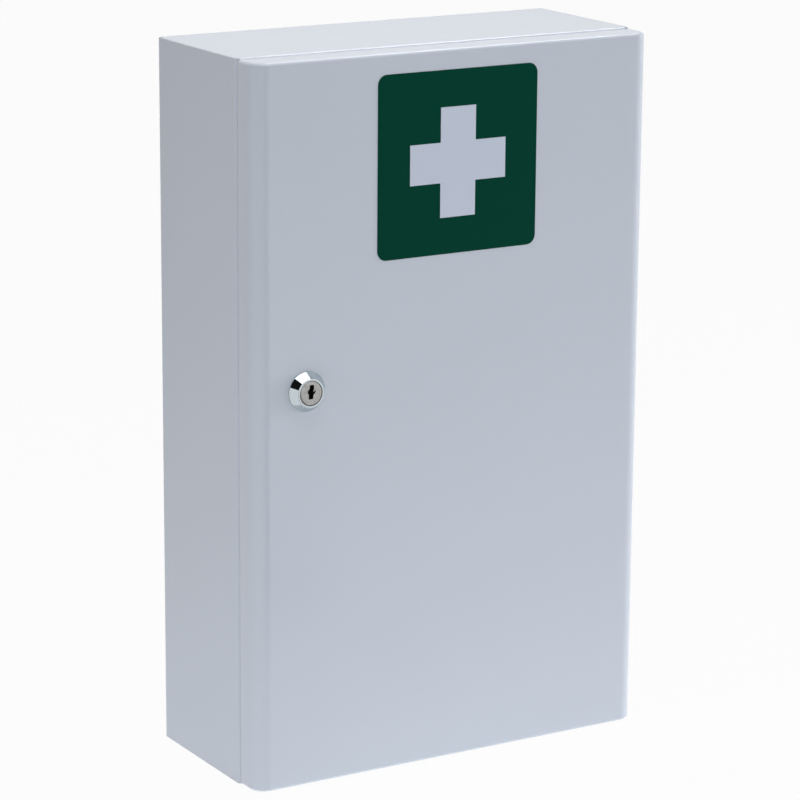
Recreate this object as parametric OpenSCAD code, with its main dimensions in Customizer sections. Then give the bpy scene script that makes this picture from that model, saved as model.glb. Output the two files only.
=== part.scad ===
// Lockable medicine cabinet: a folded sheet-steel body with two shelves, closed by one
// overlay door on hidden pin hinges with a quarter-turn cam lock.
// +Z is up, the door faces -Y and its hinges are at +X. The origin is under the middle of the
// whole object, on the surface that it stands on. Most modules are written from the seam plane,
// the plane of the body's front edges, which in_frame() then moves to its place.

/* [Overall] */
// Width of the body and of the door
cab_w = 248; // [200:1:320]
// Height of the body
cab_h = 400; // [330:1:520]
// Depth of the body, from the wall to the seam plane
body_d = 90; // [74:1:160]
// Depth of the door, from the seam plane to its front face
door_d = 20; // [19:0.5:26]
// Thickness of the folded sheets
sheet_t = 1; // [0.7:0.1:1.3]

/* [Body] */
// Outside radius of the body's folds
body_bend_r = 2.5; // [1.6:0.1:4]
// Width of the front return flanges at the sides, which the cam reaches behind
side_return_w = 20; // [18:1:26]
// Height of the front return flanges at the top and the bottom
end_return_w = 15; // [8:1:24]
// Height of the flanges that weld the top and the bottom to the sides and back
weld_flange_w = 10; // [6:1:14]
// Diameter of the four wall holes
wall_hole_d = 6.5; // [4:0.5:10]
// Distance of the wall holes from the sides
wall_hole_from_side = 34; // [20:1:60]
// Distance of the wall holes from the top and the bottom
wall_hole_from_end = 40; // [20:1:80]

/* [Door] */
// Outside radius of the door's vertical bends
door_bend_r = 9; // [7:0.5:11]
// Outside radius of the door's top and bottom folds
door_fold_r = 2; // [1.6:0.1:4]
// Width of the door's inward returns
door_return_w = 12; // [8:1:16]
// Step of the door's ends in from the body's top and bottom
door_end_gap = 0.5; // [0.2:0.1:2]
// Diameter of a door buffer
buffer_d = 8; // [5:0.5:10]
// Distance of the door buffers from the top and the bottom
buffer_from_end = 30; // [20:1:50]

/* [Hinges] */
// Distance of each hinge from the top or the bottom
hinge_from_end = 60; // [45:1:120]
// Diameter of the hinge pins
hinge_pin_d = 3; // [2:0.1:3.6]
// Wall of the hinge eyes round the pin
hinge_eye_wall = 1.04; // [0.8:0.02:1.2]
// Distance of the hinge axis ahead of the seam plane
hinge_lead = 12; // [10.5:0.1:13]
// Thickness of the body's hinge arms
hinge_arm_t = 2; // [1:0.1:3]
// Thickness of the door's hinge ears and of both mounting plates
hinge_ear_t = 1.5; // [1:0.1:2]
// Height of the mounting plates of the hinges
hinge_plate_h = 30; // [26:1:50]
// Width of the mounting plates on the body
hinge_plate_w = 8.5; // [7:0.5:9]
// Diameter of the rivets that hold the hinge arms
rivet_d = 3; // [2.4:0.1:3.2]

/* [Shelves] */
// Width of the shelf rails
rail_w = 16; // [12:1:20]
// Depth of the shelf rails
rail_d = 6; // [5:0.5:8]
// Distance of the front rails' middle from the seam plane
rail_from_front = 25; // [20:1:40]
// Distance of the rear rails' middle from the wall
rail_from_wall = 22; // [14:1:30]
// Distance of the rails' ends from the top and the bottom
rail_from_end = 20; // [16:1:40]
// Diameter of the clip holes in the rails
clip_hole_d = 5.2; // [4:0.1:6]
// Spacing of the clip holes
clip_pitch = 25; // [20:1:32]
// Distance of the shelves' front edges from the seam plane
shelf_setback = 10; // [9:1:14]
// Height of the shelves' folded edges
shelf_flange_w = 12; // [8:1:18]

/* [Lock] */
// Distance of the lock's middle from the left side
lock_from_left = 31; // [29:0.5:60]
// Height of the lock's middle
lock_from_bottom = 222.5; // [150:0.5:240]
// Diameter of the plug's barrel
plug_d = 11; // [9:0.1:13.4]
// Width of the plug's face outside its barrel
plug_face_rim = 1.3; // [0.8:0.1:1.6]
// Step in from the barrel to the square tang that turns the cam
tang_step = 2; // [1.8:0.1:2.4]
// Wall of the threaded stem round the plug
stem_wall = 2.5; // [2.2:0.1:3.4]
// Depth of the two flats on the stem
stem_flat = 1.2; // [0.6:0.1:1.6]
// Overhang of the bezel round the stem
bezel_overhang = 3; // [2:0.1:5]
// Width of the bezel's front face round the plug
bezel_face_w = 1.7; // [1:0.1:2.2]
// Height of the bezel over the door
lock_proud = 5; // [4:0.1:7]
// Height of the keyway
keyway_h = 7.4; // [6:0.1:8]
// Width of the keyway
keyway_w = 1.9; // [1.4:0.1:2.2]
// Number of wafers in the plug
wafer_count = 5; // [3:1:5]
// Length of the cam, from the lock's middle to its tip
cam_length = 24; // [22:0.5:27]
// Width of the cam
cam_w = 14; // [12:0.5:15]
// Thickness of the cam
cam_t = 2; // [1.5:0.1:2.5]
// Wall of the lock nut at its flats
nut_wall = 2; // [1.5:0.1:3]
// Thickness of the lock nut
nut_t = 4; // [3:0.5:6]
// Thread diameter of the cam screw
cam_screw_d = 4; // [3:0.5:4.5]

/* [Sign] */
// Width and height of the sign
sign_w = 100; // [60:1:120]
// Distance of the sign from the body's top
sign_from_top = 11.5; // [6:0.5:40]
// Radius of the sign's corners
sign_corner_r = 5.5; // [2:0.5:10]
// Length of the cross's arms from tip to tip
cross_span = 60; // [40:1:64]
// Width of the cross's arms
cross_bar = 22; // [14:1:26]
// Thickness of the film
film_t = 0.25; // [0.15:0.05:0.4]

/* [Hidden] */
$fn = 96;

// Clearances
rest_gap = 0.3;       // between a part and what it lies against loosely
running_gap = 0.06;   // round a shaft that turns
press_gap = 0.01;     // round a pin that is pressed in
sweep_gap = 0.3;      // between the door's rear corner and the body as it swings past
eye_gap = 0.3;        // between a hinge eye and the inside of the door
slot_gap = 1;         // above and below a hinge arm in its slot
axial_gap = 0.15;     // between a hinge arm and the ears
end_play = 0.1;       // of the lock's plug in its housing
cam_gap = 1.3;        // between the cam and the return that it reaches behind
over = 1;             // how far a cutter runs past what it cuts
tight_r = 0.3;        // the least inside radius of a fold

// Places in the frame
half_w = cab_w / 2;
total_d = body_d + door_d + lock_proud;
seam_y = door_d + lock_proud - total_d / 2;
door_bottom = door_end_gap;
door_top = cab_h - door_end_gap;
front_y = -door_d;
pan_y = front_y + sheet_t;
opening_half_w = half_w - side_return_w;
end_return_half_w = half_w - body_bend_r - rest_gap;
flange_relief = body_bend_r + 4 * sheet_t;

// Hinges: the axis is as near the door's side as the eye may come to the inside of the bend,
// and the seam is as wide as the door's rear corner needs to swing past the body
hinge_eye_r = hinge_pin_d / 2 + running_gap + hinge_eye_wall;
bend_to_eye = door_bend_r - sheet_t - eye_gap - hinge_eye_r;
axis_past_bend = max(0, hinge_lead + door_bend_r - door_d);
hinge_inset = door_bend_r - sqrt(pow(bend_to_eye, 2) - pow(axis_past_bend, 2));
hinge_x = half_w - hinge_inset;
hinge_zs = [hinge_from_end, cab_h - hinge_from_end];
seam_gap = hinge_lead - sqrt(pow(hinge_lead - sweep_gap, 2) - pow(hinge_inset, 2));
door_rear_y = -seam_gap;
hinge_plate_from_axis = 7;
hinge_plate_right = hinge_x - hinge_plate_from_axis;
hinge_plate_left = hinge_plate_right - hinge_plate_w;
rivet_x = (hinge_plate_left + hinge_plate_right) / 2;
rivet_from_end = 5.5;
rivet_dz = hinge_plate_h / 2 - rivet_from_end;
rivet_head_rim = 0.8;
rivet_head_r = rivet_d / 2 + rivet_head_rim;
rivet_head_h = 0.8;
clevis_plate_w = 16;
clevis_plate_from_axis = 8;
clevis_plate_right = hinge_x - clevis_plate_from_axis;
clevis_plate_h = 20;
ear_z = hinge_arm_t / 2 + axial_gap;
pin_head_step = 0.3;
pin_head_r = hinge_eye_r - pin_head_step;
pin_head_h = 0.8;

// Shelves
wall_in_x = half_w - sheet_t;
rail_face_x = wall_in_x - rail_d;
rail_ys = [rail_from_front, body_d - rail_from_wall];
rail_h = cab_h - 2 * rail_from_end;
hole_from_rail_end = 30;
hole_count = floor((rail_h - 2 * hole_from_rail_end) / clip_pitch) + 1;
hole_z0 = cab_h / 2 - (hole_count - 1) * clip_pitch / 2;
shelf_count = 2;
clip_gap = 0.1;
clip_pin_d = clip_hole_d - 2 * clip_gap;
clip_pin_past = 3;
clip_pin_l = sheet_t + clip_pin_past;
clip_collar_rim = 1.8;
clip_collar_r = clip_hole_d / 2 + clip_collar_rim;
clip_collar_t = 0.8;
clip_tongue_w = 8;
clip_tongue_l = 9;
clip_tongue_t = 3;
clip_seat = clip_pin_d / 2;
shelf_side_gap = 1;
shelf_back_gap = 4;
shelf_half_w = rail_face_x - shelf_side_gap;
shelf_inner_r = 0.8;
shelf_fold_r = sheet_t + shelf_inner_r;

// Lock, along its own axis: z is the distance ahead of the seam plane
lock_x = lock_from_left - half_w;
lock_z = lock_from_bottom;
bezel_rim_h = 0.9;
bezel_lip_h = 0.4;
bezel_front = door_d + lock_proud;
stem_r = plug_d / 2 + stem_wall;
stem_flats = 2 * (stem_r - stem_flat);
bezel_r = stem_r + bezel_overhang;
stem_end = -0.2;
bore_r = plug_d / 2 + running_gap;
plug_face_gap = 0.2;
plug_recess = 0.2;
plug_face_r = plug_d / 2 + plug_face_rim;
counterbore_r = plug_face_r + plug_face_gap;
bezel_face_r = counterbore_r + bezel_face_w;
counterbore_depth = 2.1;
counterbore_floor = bezel_front - counterbore_depth;
plug_front = bezel_front - plug_recess;
plug_shoulder = counterbore_floor + end_play;
plug_face_edge = 0.35;
barrel_end = stem_end - end_play;
cam_front = -sheet_t - cam_gap;
cam_rear = cam_front - cam_t;
tang_end = cam_rear + end_play;
tang_w = plug_d - 2 * tang_step;
tang_gap = 0.05;
keyway_end = 5.5;
wafer_t = 1;
wafer_play = 0.2;
wafer_slot_t = wafer_t + wafer_play;
wafer_pitch = 2.7;
wafer_z0 = 8.6;
wafer_side_step = 0.3;
wafer_sunk = 0.22;
wafer_w = tang_w - 2 * wafer_side_step;
wafer_h = 2 * sqrt(pow(plug_d / 2 - wafer_sunk, 2) - pow(wafer_w / 2, 2));
wafer_slot_w = wafer_w + wafer_play;
wafer_frame_w = 1.5;
stop_step = 0.4;
stop_r = stem_r - stop_step;
stop_lug_r_in = bore_r + stop_step;
stop_lug_r_out = stop_r - stop_step / 2;
stop_lug_half = 14;
stop_lug_h = 1.4;
stop_slack = 2;
stop_side = 225;
quarter_turn = 90;
washer_t = 0.7;
washer_rim = 0.6;
nut_apothem = stem_r + nut_wall;
washer_r = nut_apothem + washer_rim;
nut_rear = door_d - sheet_t - washer_t - nut_t;
hole_gap = 0.15;
spring_washer_rim = 0.4;
spring_washer_r = (tang_w / 2 + tang_gap) * sqrt(2) + spring_washer_rim;
spring_washer_t = 0.8;
spring_washer_slit = 1;
spring_washer_gap = 0.2;
screw_head_lap = 0.35;
screw_head_r = tang_w / 2 + tang_gap + screw_head_lap;
screw_head_h = 2.3;
screw_head_taper = 0.8;
screw_depth = 8;
screw_slot_w = 1.1;
screw_slot_l = 4.4;
screw_slot_depth = 1.2;

// Sign
sign_z = cab_h - sign_from_top - sign_w / 2;
inlay_gap = 0.05;

steel_white = "whitesmoke";
zinc = "silver";
nickel = "gainsboro";

// ---- shared shapes ----

module in_frame() {
    translate([0, seam_y, 0]) children();
}

// A rectangle with exact round corners: radius r at the left and right of one or both ends
module rounded(x0, x1, y0, y1, r, near_only = false) {
    ys = near_only ? [y0 + r] : [y0 + r, y1 - r];
    translate([x0 + r, y0]) square([x1 - x0 - 2 * r, y1 - y0]);
    translate([x0, y0 + r]) square([x1 - x0, (near_only ? y1 : y1 - r) - y0 - r]);
    for (x = [x0 + r, x1 - r], y = ys) translate([x, y]) circle(r);
}

// A folded sheet in section: legs along +x and +y from the corner, r outside the fold
module angle_section(leg_x, leg_y, r) {
    translate([r, 0]) square([leg_x - r, sheet_t]);
    translate([0, r]) square([sheet_t, leg_y - r]);
    intersection() {
        square(r);
        translate([r, r]) difference() {
            circle(r);
            circle(r - sheet_t);
        }
    }
}

// Turns a section drawn in Y (first) and Z (second) into a bar along X
module along_x(x0, x1) {
    translate([x0, 0, 0]) rotate([90, 0, 90]) linear_extrude(x1 - x0) children();
}

// Stands things on the lock's axis, z ahead of the seam plane and y up
module lock_frame() {
    in_frame() translate([lock_x, 0, lock_z]) rotate([90, 0, 0]) children();
}

module tube(r_out, r_in, z0, z1) {
    translate([0, 0, z0]) difference() {
        cylinder(r = r_out, h = z1 - z0);
        translate([0, 0, -over]) cylinder(r = r_in, h = z1 - z0 + 2 * over);
    }
}

// ---- body ----

// The body in plan, inset from its outside
module body_plan(inset) {
    rounded(inset - half_w, half_w - inset, inset, body_d - inset,
            max(tight_r, body_bend_r - inset));
}

module side_and_back_shell() {
    hole_x = half_w - wall_hole_from_side;
    hole_zs = [wall_hole_from_end, cab_h - wall_hole_from_end];
    color(steel_white) in_frame() difference() {
        linear_extrude(cab_h) difference() {
            body_plan(0);
            body_plan(sheet_t);
            translate([-opening_half_w, -over]) square([2 * opening_half_w, 2 * over + sheet_t]);
        }
        for (z = [-over, cab_h - end_return_w - rest_gap]) translate([body_bend_r - half_w, -over, z])
            cube([cab_w - 2 * body_bend_r, 2 * over + sheet_t, end_return_w + rest_gap + over]);
        for (x = [-hole_x, hole_x], z = hole_zs) translate([x, body_d + over, z])
            rotate([90, 0, 0]) cylinder(d = wall_hole_d, h = 2 * over + sheet_t);
    }
}

// The bottom panel: a tray inside the shell, with its front edge folded up behind the door.
// The tray's flange laps the ends of that fold
module end_panel() {
    difference() {
        linear_extrude(weld_flange_w) body_plan(sheet_t);
        translate([0, 0, sheet_t]) linear_extrude(weld_flange_w) body_plan(2 * sheet_t);
        translate([-end_return_half_w, -over, -over])
            cube([2 * end_return_half_w, body_bend_r + over, sheet_t + over]);
        translate([-half_w, -over, sheet_t])
            cube([cab_w, flange_relief + over, weld_flange_w]);
    }
    along_x(-end_return_half_w, end_return_half_w)
        angle_section(body_bend_r + over, end_return_w, body_bend_r);
}

module bottom_panel() {
    color(steel_white) in_frame() end_panel();
}

module top_panel() {
    color(steel_white) in_frame() translate([0, 0, cab_h]) mirror([0, 0, 1]) end_panel();
}

// ---- shelves ----

// A channel welded to the left wall, open towards it, with a column of clip holes
module shelf_rail(y) {
    in_frame() translate([-wall_in_x, y, 0]) difference() {
        translate([0, -rail_w / 2, rail_from_end]) cube([rail_d, rail_w, rail_h]);
        translate([-over, sheet_t - rail_w / 2, rail_from_end - over])
            cube([rail_d - sheet_t + over, rail_w - 2 * sheet_t, rail_h + 2 * over]);
        for (i = [0 : hole_count - 1]) translate([0, 0, hole_z0 + i * clip_pitch])
            rotate([0, 90, 0]) cylinder(d = clip_hole_d, h = rail_d + over);
    }
}

module rail_left_front() {
    color(steel_white) shelf_rail(rail_ys[0]);
}

module rail_left_rear() {
    color(steel_white) shelf_rail(rail_ys[1]);
}

module rail_right_front() {
    color(steel_white) mirror([1, 0, 0]) shelf_rail(rail_ys[0]);
}

module rail_right_rear() {
    color(steel_white) mirror([1, 0, 0]) shelf_rail(rail_ys[1]);
}

// Height of the hole that carries a shelf: the one nearest to an even share of the height
function shelf_hole_z(level) =
    hole_z0 + clip_pitch * round((level * cab_h / (shelf_count + 1) - hole_z0) / clip_pitch);

// A sheet with its front and rear edges folded down
module shelf(level) {
    front = shelf_setback;
    rear = body_d - sheet_t - shelf_back_gap;
    top = shelf_hole_z(level) + clip_seat + sheet_t;
    color(steel_white) in_frame() translate([0, 0, top]) along_x(-shelf_half_w, shelf_half_w) {
        translate([front, 0]) mirror([0, 1])
            angle_section((rear - front) / 2, shelf_flange_w, shelf_fold_r);
        translate([rear, 0]) mirror([0, 1]) mirror([1, 0])
            angle_section((rear - front) / 2, shelf_flange_w, shelf_fold_r);
    }
}

module lower_shelf() {
    shelf(1);
}

module upper_shelf() {
    shelf(2);
}

// A clip for the left wall: its pin is in the rail and its tongue is under the shelf
module shelf_clip() {
    translate([-clip_pin_l, 0, 0]) rotate([0, 90, 0]) cylinder(d = clip_pin_d, h = clip_pin_l);
    rotate([0, 90, 0]) difference() {
        cylinder(r = clip_collar_r, h = clip_collar_t);
        translate([-clip_collar_r - over - clip_seat, -clip_collar_r - over, -over])
            cube([clip_collar_r + over, 2 * (clip_collar_r + over), clip_collar_t + 2 * over]);
    }
    translate([0, -clip_tongue_w / 2, clip_seat - clip_tongue_t])
        cube([clip_tongue_l, clip_tongue_w, clip_tongue_t]);
}

module shelf_clips(level) {
    color(zinc) in_frame() for (y = rail_ys, side = [0, 1]) mirror([side, 0, 0])
        translate([-rail_face_x, y, shelf_hole_z(level)]) shelf_clip();
}

module lower_shelf_clips() {
    shelf_clips(1);
}

module upper_shelf_clips() {
    shelf_clips(2);
}

// ---- hinges ----

// The plan of an arm or an ear: an eye round the axis and a web to a mounting plate whose
// face is at plate_y
module eye_plan(plate_left, plate_right, plate_y, hole_r) {
    side = sign(plate_y + hinge_lead);
    reach = hinge_eye_r * cos(45);
    difference() {
        union() {
            translate([hinge_x, -hinge_lead]) circle(hinge_eye_r);
            polygon([
                [hinge_x + reach, -hinge_lead + side * reach],
                [plate_right, plate_y],
                [plate_left, plate_y],
                [hinge_x - reach, -hinge_lead - side * reach]
            ]);
        }
        translate([hinge_x, -hinge_lead]) circle(hole_r);
    }
}

// The body's arm: a plate riveted to the side return, and a web that reaches into the door
module body_hinge_bracket(z) {
    color(zinc) in_frame() translate([0, 0, z]) difference() {
        union() {
            translate([hinge_plate_left, -hinge_ear_t, -hinge_plate_h / 2])
                cube([hinge_plate_w, hinge_ear_t, hinge_plate_h]);
            translate([0, 0, -hinge_arm_t / 2]) linear_extrude(hinge_arm_t)
                eye_plan(hinge_plate_left, hinge_plate_right, -hinge_ear_t,
                         hinge_pin_d / 2 + running_gap);
        }
        for (dz = [-rivet_dz, rivet_dz]) translate([rivet_x, over, dz])
            rotate([90, 0, 0]) cylinder(d = rivet_d, h = hinge_ear_t + 2 * over);
    }
}

module lower_body_hinge_bracket() {
    body_hinge_bracket(hinge_zs[0]);
}

module upper_body_hinge_bracket() {
    body_hinge_bracket(hinge_zs[1]);
}

// One rivet along Y: a shank through the bracket and a domed head on its front
module rivet() {
    rotate([90, 0, 0]) cylinder(d = rivet_d, h = hinge_ear_t);
    translate([0, -hinge_ear_t, 0]) rotate([90, 0, 0])
        cylinder(r1 = rivet_head_r, r2 = rivet_head_r - rivet_head_h, h = rivet_head_h);
}

module hinge_bracket_rivets() {
    color(zinc) in_frame() for (z = hinge_zs, dz = [-rivet_dz, rivet_dz])
        translate([rivet_x, 0, z + dz]) rivet();
}

// The door's half: a plate welded inside the front and two ears, one each side of the arm
module door_hinge_clevis(z) {
    plate_left = clevis_plate_right - clevis_plate_w;
    color(zinc) in_frame() translate([0, 0, z]) {
        translate([plate_left, pan_y, -clevis_plate_h / 2])
            cube([clevis_plate_w, hinge_ear_t, clevis_plate_h]);
        for (ear = [-ear_z - hinge_ear_t, ear_z]) translate([0, 0, ear])
            linear_extrude(hinge_ear_t)
                eye_plan(plate_left, clevis_plate_right, pan_y + hinge_ear_t,
                         hinge_pin_d / 2 + press_gap);
    }
}

module lower_door_hinge_clevis() {
    door_hinge_clevis(hinge_zs[0]);
}

module upper_door_hinge_clevis() {
    door_hinge_clevis(hinge_zs[1]);
}

module hinge_pin(z) {
    ear_out = ear_z + hinge_ear_t;
    color(zinc) in_frame() translate([hinge_x, -hinge_lead, z]) {
        translate([0, 0, -ear_out]) cylinder(d = hinge_pin_d, h = 2 * ear_out);
        translate([0, 0, ear_out]) cylinder(r = pin_head_r, h = pin_head_h);
        translate([0, 0, -ear_out - pin_head_h]) cylinder(r = pin_head_r, h = pin_head_h);
    }
}

module lower_hinge_pin() {
    hinge_pin(hinge_zs[0]);
}

module upper_hinge_pin() {
    hinge_pin(hinge_zs[1]);
}

// ---- door ----

// The solid that the door fills, inset from its outside and open at the seam by extra
module door_block(inset, extra) {
    intersection() {
        linear_extrude(cab_h) rounded(inset - half_w, half_w - inset, front_y + inset,
                                      door_rear_y + extra, door_bend_r - inset, true);
        along_x(-half_w, half_w) mirror([1, -1])
            rounded(door_bottom + inset, door_top - inset, front_y + inset,
                    door_rear_y + extra, door_fold_r - inset, true);
    }
}

// The inward returns along the lock side, the top and the bottom of the door
module door_returns() {
    left = sheet_t - half_w;
    right = hinge_x - hinge_eye_r;
    low = door_bottom + sheet_t;
    high = door_top - sheet_t;
    translate([0, door_rear_y, 0]) rotate([90, 0, 0]) linear_extrude(sheet_t) difference() {
        translate([left, low]) square([right - left, high - low]);
        translate([left + door_return_w, low + door_return_w])
            square([right - left, high - low - 2 * door_return_w]);
    }
}

// Lets the body's hinge arm pass through the door's side as it opens
module hinge_slot(z) {
    h = hinge_arm_t + 2 * slot_gap;
    translate([hinge_x, -hinge_lead - hinge_eye_r, z - h / 2])
        cube([hinge_inset + over, hinge_lead + hinge_eye_r, h]);
}

// A circle with two flats, for the lock's stem and its hole
module double_d(r, flats) {
    intersection() {
        circle(r);
        square([flats, 2 * r + over], center = true);
    }
}

module door_pan() {
    color(steel_white) {
        difference() {
            in_frame() difference() {
                door_block(0, 0);
                door_block(sheet_t, over);
                for (z = hinge_zs) hinge_slot(z);
            }
            lock_frame() translate([0, 0, door_d - sheet_t - over])
                linear_extrude(sheet_t + 2 * over)
                    double_d(stem_r + hole_gap, stem_flats + 2 * hole_gap);
        }
        in_frame() door_returns();
    }
}

module door_buffers() {
    thick = seam_gap - rest_gap;
    x = sheet_t + door_return_w / 2 - half_w;
    color("dimgray") in_frame() for (z = [buffer_from_end, cab_h - buffer_from_end])
        translate([x, door_rear_y + thick, z]) rotate([90, 0, 0])
            cylinder(d = buffer_d, h = thick);
}

// ---- sign ----

// Lays a flat shape on the door, about the sign's middle
module on_door() {
    in_frame() translate([0, front_y, sign_z]) rotate([90, 0, 0]) linear_extrude(film_t)
        children();
}

module cross(grow) {
    square([cross_span + 2 * grow, cross_bar + 2 * grow], center = true);
    square([cross_bar + 2 * grow, cross_span + 2 * grow], center = true);
}

module sign_field() {
    color([0, 0.25, 0.17]) on_door() difference() {
        rounded(-sign_w / 2, sign_w / 2, -sign_w / 2, sign_w / 2, sign_corner_r);
        cross(inlay_gap);
    }
}

module sign_cross() {
    color("white") on_door() cross(0);
}

// ---- lock ----

// A sector of a ring round the lock's axis
module ring_sector(r_in, r_out, from, to, z0, z1) {
    rotate([0, 0, from]) rotate_extrude(angle = to - from)
        translate([r_in, z0]) square([r_out - r_in, z1 - z0]);
}

module lock_housing() {
    color(nickel) lock_frame() difference() {
        union() {
            translate([0, 0, stem_end]) linear_extrude(door_d - stem_end)
                double_d(stem_r, stem_flats);
            translate([0, 0, door_d]) rotate_extrude() polygon([
                [0, 0], [bezel_r, 0], [bezel_r, bezel_rim_h],
                [bezel_face_r, lock_proud - bezel_lip_h],
                [bezel_face_r - bezel_lip_h, lock_proud],
                [0, lock_proud]
            ]);
        }
        translate([0, 0, stem_end - over]) cylinder(r = bore_r, h = bezel_front);
        translate([0, 0, counterbore_floor]) cylinder(r = counterbore_r, h = lock_proud);
        ring_sector(plug_d / 2 - over, stem_r + over,
                    stop_side - stop_lug_half - stop_slack,
                    stop_side + stop_lug_half + quarter_turn + stop_slack,
                    stem_end - over, barrel_end + stop_lug_h + rest_gap);
    }
}

module lock_washer() {
    color(zinc) lock_frame()
        tube(washer_r, stem_r + hole_gap, door_d - sheet_t - washer_t, door_d - sheet_t);
}

module lock_nut() {
    color(zinc) lock_frame() translate([0, 0, nut_rear]) difference() {
        cylinder(r = nut_apothem / cos(30), h = nut_t, $fn = 6);
        translate([0, 0, -over]) cylinder(r = stem_r + hole_gap, h = nut_t + 2 * over);
    }
}

// The keyway: a slot with a rib groove at its left and a step at its right
module keyway_plan() {
    w = keyway_w / 2;
    h = keyway_h / 2;
    polygon([
        [-w, -h], [w, -h], [w, -h / 2], [w + w / 2, -h / 4], [w, 0], [w, h], [-w, h],
        [-w, h / 3], [-w - w, h / 4], [-w - w, -h / 6], [-w, -h / 4]
    ]);
}

module lock_plug() {
    face_l = plug_front - plug_shoulder;
    color(nickel) lock_frame() difference() {
        union() {
            translate([0, 0, barrel_end]) cylinder(d = plug_d, h = plug_front - barrel_end);
            translate([0, 0, plug_shoulder]) rotate_extrude() polygon([
                [0, 0], [plug_face_r, 0], [plug_face_r, face_l - plug_face_edge],
                [plug_face_r - plug_face_edge, face_l], [0, face_l]
            ]);
            translate([-tang_w / 2, -tang_w / 2, tang_end])
                cube([tang_w, tang_w, barrel_end - tang_end + over]);
        }
        translate([0, 0, keyway_end]) linear_extrude(bezel_front) keyway_plan();
        for (i = [0 : wafer_count - 1])
            translate([-wafer_slot_w / 2, -plug_d, wafer_z0 + i * wafer_pitch])
                cube([wafer_slot_w, 2 * plug_d, wafer_slot_t]);
        translate([0, 0, tang_end - over])
            cylinder(d = cam_screw_d, h = screw_depth + over);
    }
}

module lock_wafers() {
    color("goldenrod") lock_frame() for (i = [0 : wafer_count - 1])
        translate([0, 0, wafer_z0 + i * wafer_pitch + (wafer_slot_t - wafer_t) / 2])
            linear_extrude(wafer_t) difference() {
                square([wafer_w, wafer_h], center = true);
                square([wafer_w - 2 * wafer_frame_w, wafer_h - 2 * wafer_frame_w],
                       center = true);
            }
}

// The disc behind the stem, with the lug that ends the turn in the stem's recess
module lock_stop_washer() {
    color(zinc) lock_frame() {
        difference() {
            translate([0, 0, cam_front]) cylinder(r = stop_r, h = barrel_end - cam_front);
            translate([0, 0, cam_front - over]) linear_extrude(barrel_end - cam_front + 2 * over)
                square(tang_w + 2 * tang_gap, center = true);
        }
        ring_sector(stop_lug_r_in, stop_lug_r_out,
                    stop_side - stop_lug_half, stop_side + stop_lug_half,
                    barrel_end, barrel_end + stop_lug_h);
    }
}

module lock_cam() {
    color(zinc) lock_frame() translate([0, 0, cam_rear]) linear_extrude(cam_t) difference() {
        union() {
            circle(d = cam_w);
            translate([-cam_w / 2, 0]) square([cam_w, cam_length - cam_w / 2]);
            translate([0, cam_length - cam_w / 2]) circle(d = cam_w);
        }
        square(tang_w + 2 * tang_gap, center = true);
    }
}

module cam_spring_washer() {
    color(zinc) lock_frame() difference() {
        tube(spring_washer_r, cam_screw_d / 2 + spring_washer_gap, cam_rear - spring_washer_t, cam_rear);
        translate([0, -spring_washer_slit / 2, cam_rear - spring_washer_t - over])
            cube([spring_washer_r + over, spring_washer_slit, spring_washer_t + 2 * over]);
    }
}

module cam_screw() {
    head_front = cam_rear - spring_washer_t;
    head_rear = head_front - screw_head_h;
    color(zinc) lock_frame() difference() {
        union() {
            translate([0, 0, head_rear])
                cylinder(r1 = screw_head_r - screw_head_taper, r2 = screw_head_r,
                         h = screw_head_h);
            translate([0, 0, head_front]) cylinder(d = cam_screw_d - 2 * press_gap,
                h = tang_end + screw_depth - rest_gap - head_front);
        }
        for (turn = [0, 90]) rotate([0, 0, turn])
            translate([-screw_slot_l / 2, -screw_slot_w / 2, head_rear - over])
                cube([screw_slot_l, screw_slot_w, screw_slot_depth + over]);
    }
}

side_and_back_shell();
top_panel();
bottom_panel();
rail_left_front();
rail_left_rear();
rail_right_front();
rail_right_rear();
lower_shelf();
upper_shelf();
lower_shelf_clips();
upper_shelf_clips();
lower_body_hinge_bracket();
upper_body_hinge_bracket();
hinge_bracket_rivets();
door_pan();
door_buffers();
sign_field();
sign_cross();
lower_door_hinge_clevis();
upper_door_hinge_clevis();
lower_hinge_pin();
upper_hinge_pin();
lock_housing();
lock_washer();
lock_nut();
lock_plug();
lock_wafers();
lock_stop_washer();
lock_cam();
cam_spring_washer();
cam_screw();
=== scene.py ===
"""Surfaces and finishes of a lockable medicine cabinet that is folded from sheet steel.

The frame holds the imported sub-parts. Each operator builds the visible surface of one piece, or
of a group of like pieces, in the place that the frame gives it, and sets its finish. Lengths are
in metres, +Z is up, the door faces -Y and its hinges are at +X.
"""

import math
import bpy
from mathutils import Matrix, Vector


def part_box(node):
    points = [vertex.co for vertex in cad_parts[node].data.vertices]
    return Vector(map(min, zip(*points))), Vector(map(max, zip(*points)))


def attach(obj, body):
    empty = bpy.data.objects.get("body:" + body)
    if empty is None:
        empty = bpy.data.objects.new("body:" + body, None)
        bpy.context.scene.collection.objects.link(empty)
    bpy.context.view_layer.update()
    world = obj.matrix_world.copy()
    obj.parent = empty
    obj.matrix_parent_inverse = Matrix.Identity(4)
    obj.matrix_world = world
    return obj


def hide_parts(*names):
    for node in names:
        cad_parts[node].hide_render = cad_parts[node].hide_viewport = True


bl_info = {
    "name": "Medicine Cabinet Surfaces",
    "version": (1, 0, 0),
    "blender": (4, 5, 0),
    "location": "View3D > Sidebar > Cabinet",
    "description": "Folded sheets, lock, hinges, sign and finishes of a medicine cabinet",
    "category": "Object",
}

import bmesh
import bpy
import numpy as np
from bpy.props import FloatProperty, FloatVectorProperty, IntProperty, PointerProperty
from mathutils import Matrix, Vector

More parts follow.
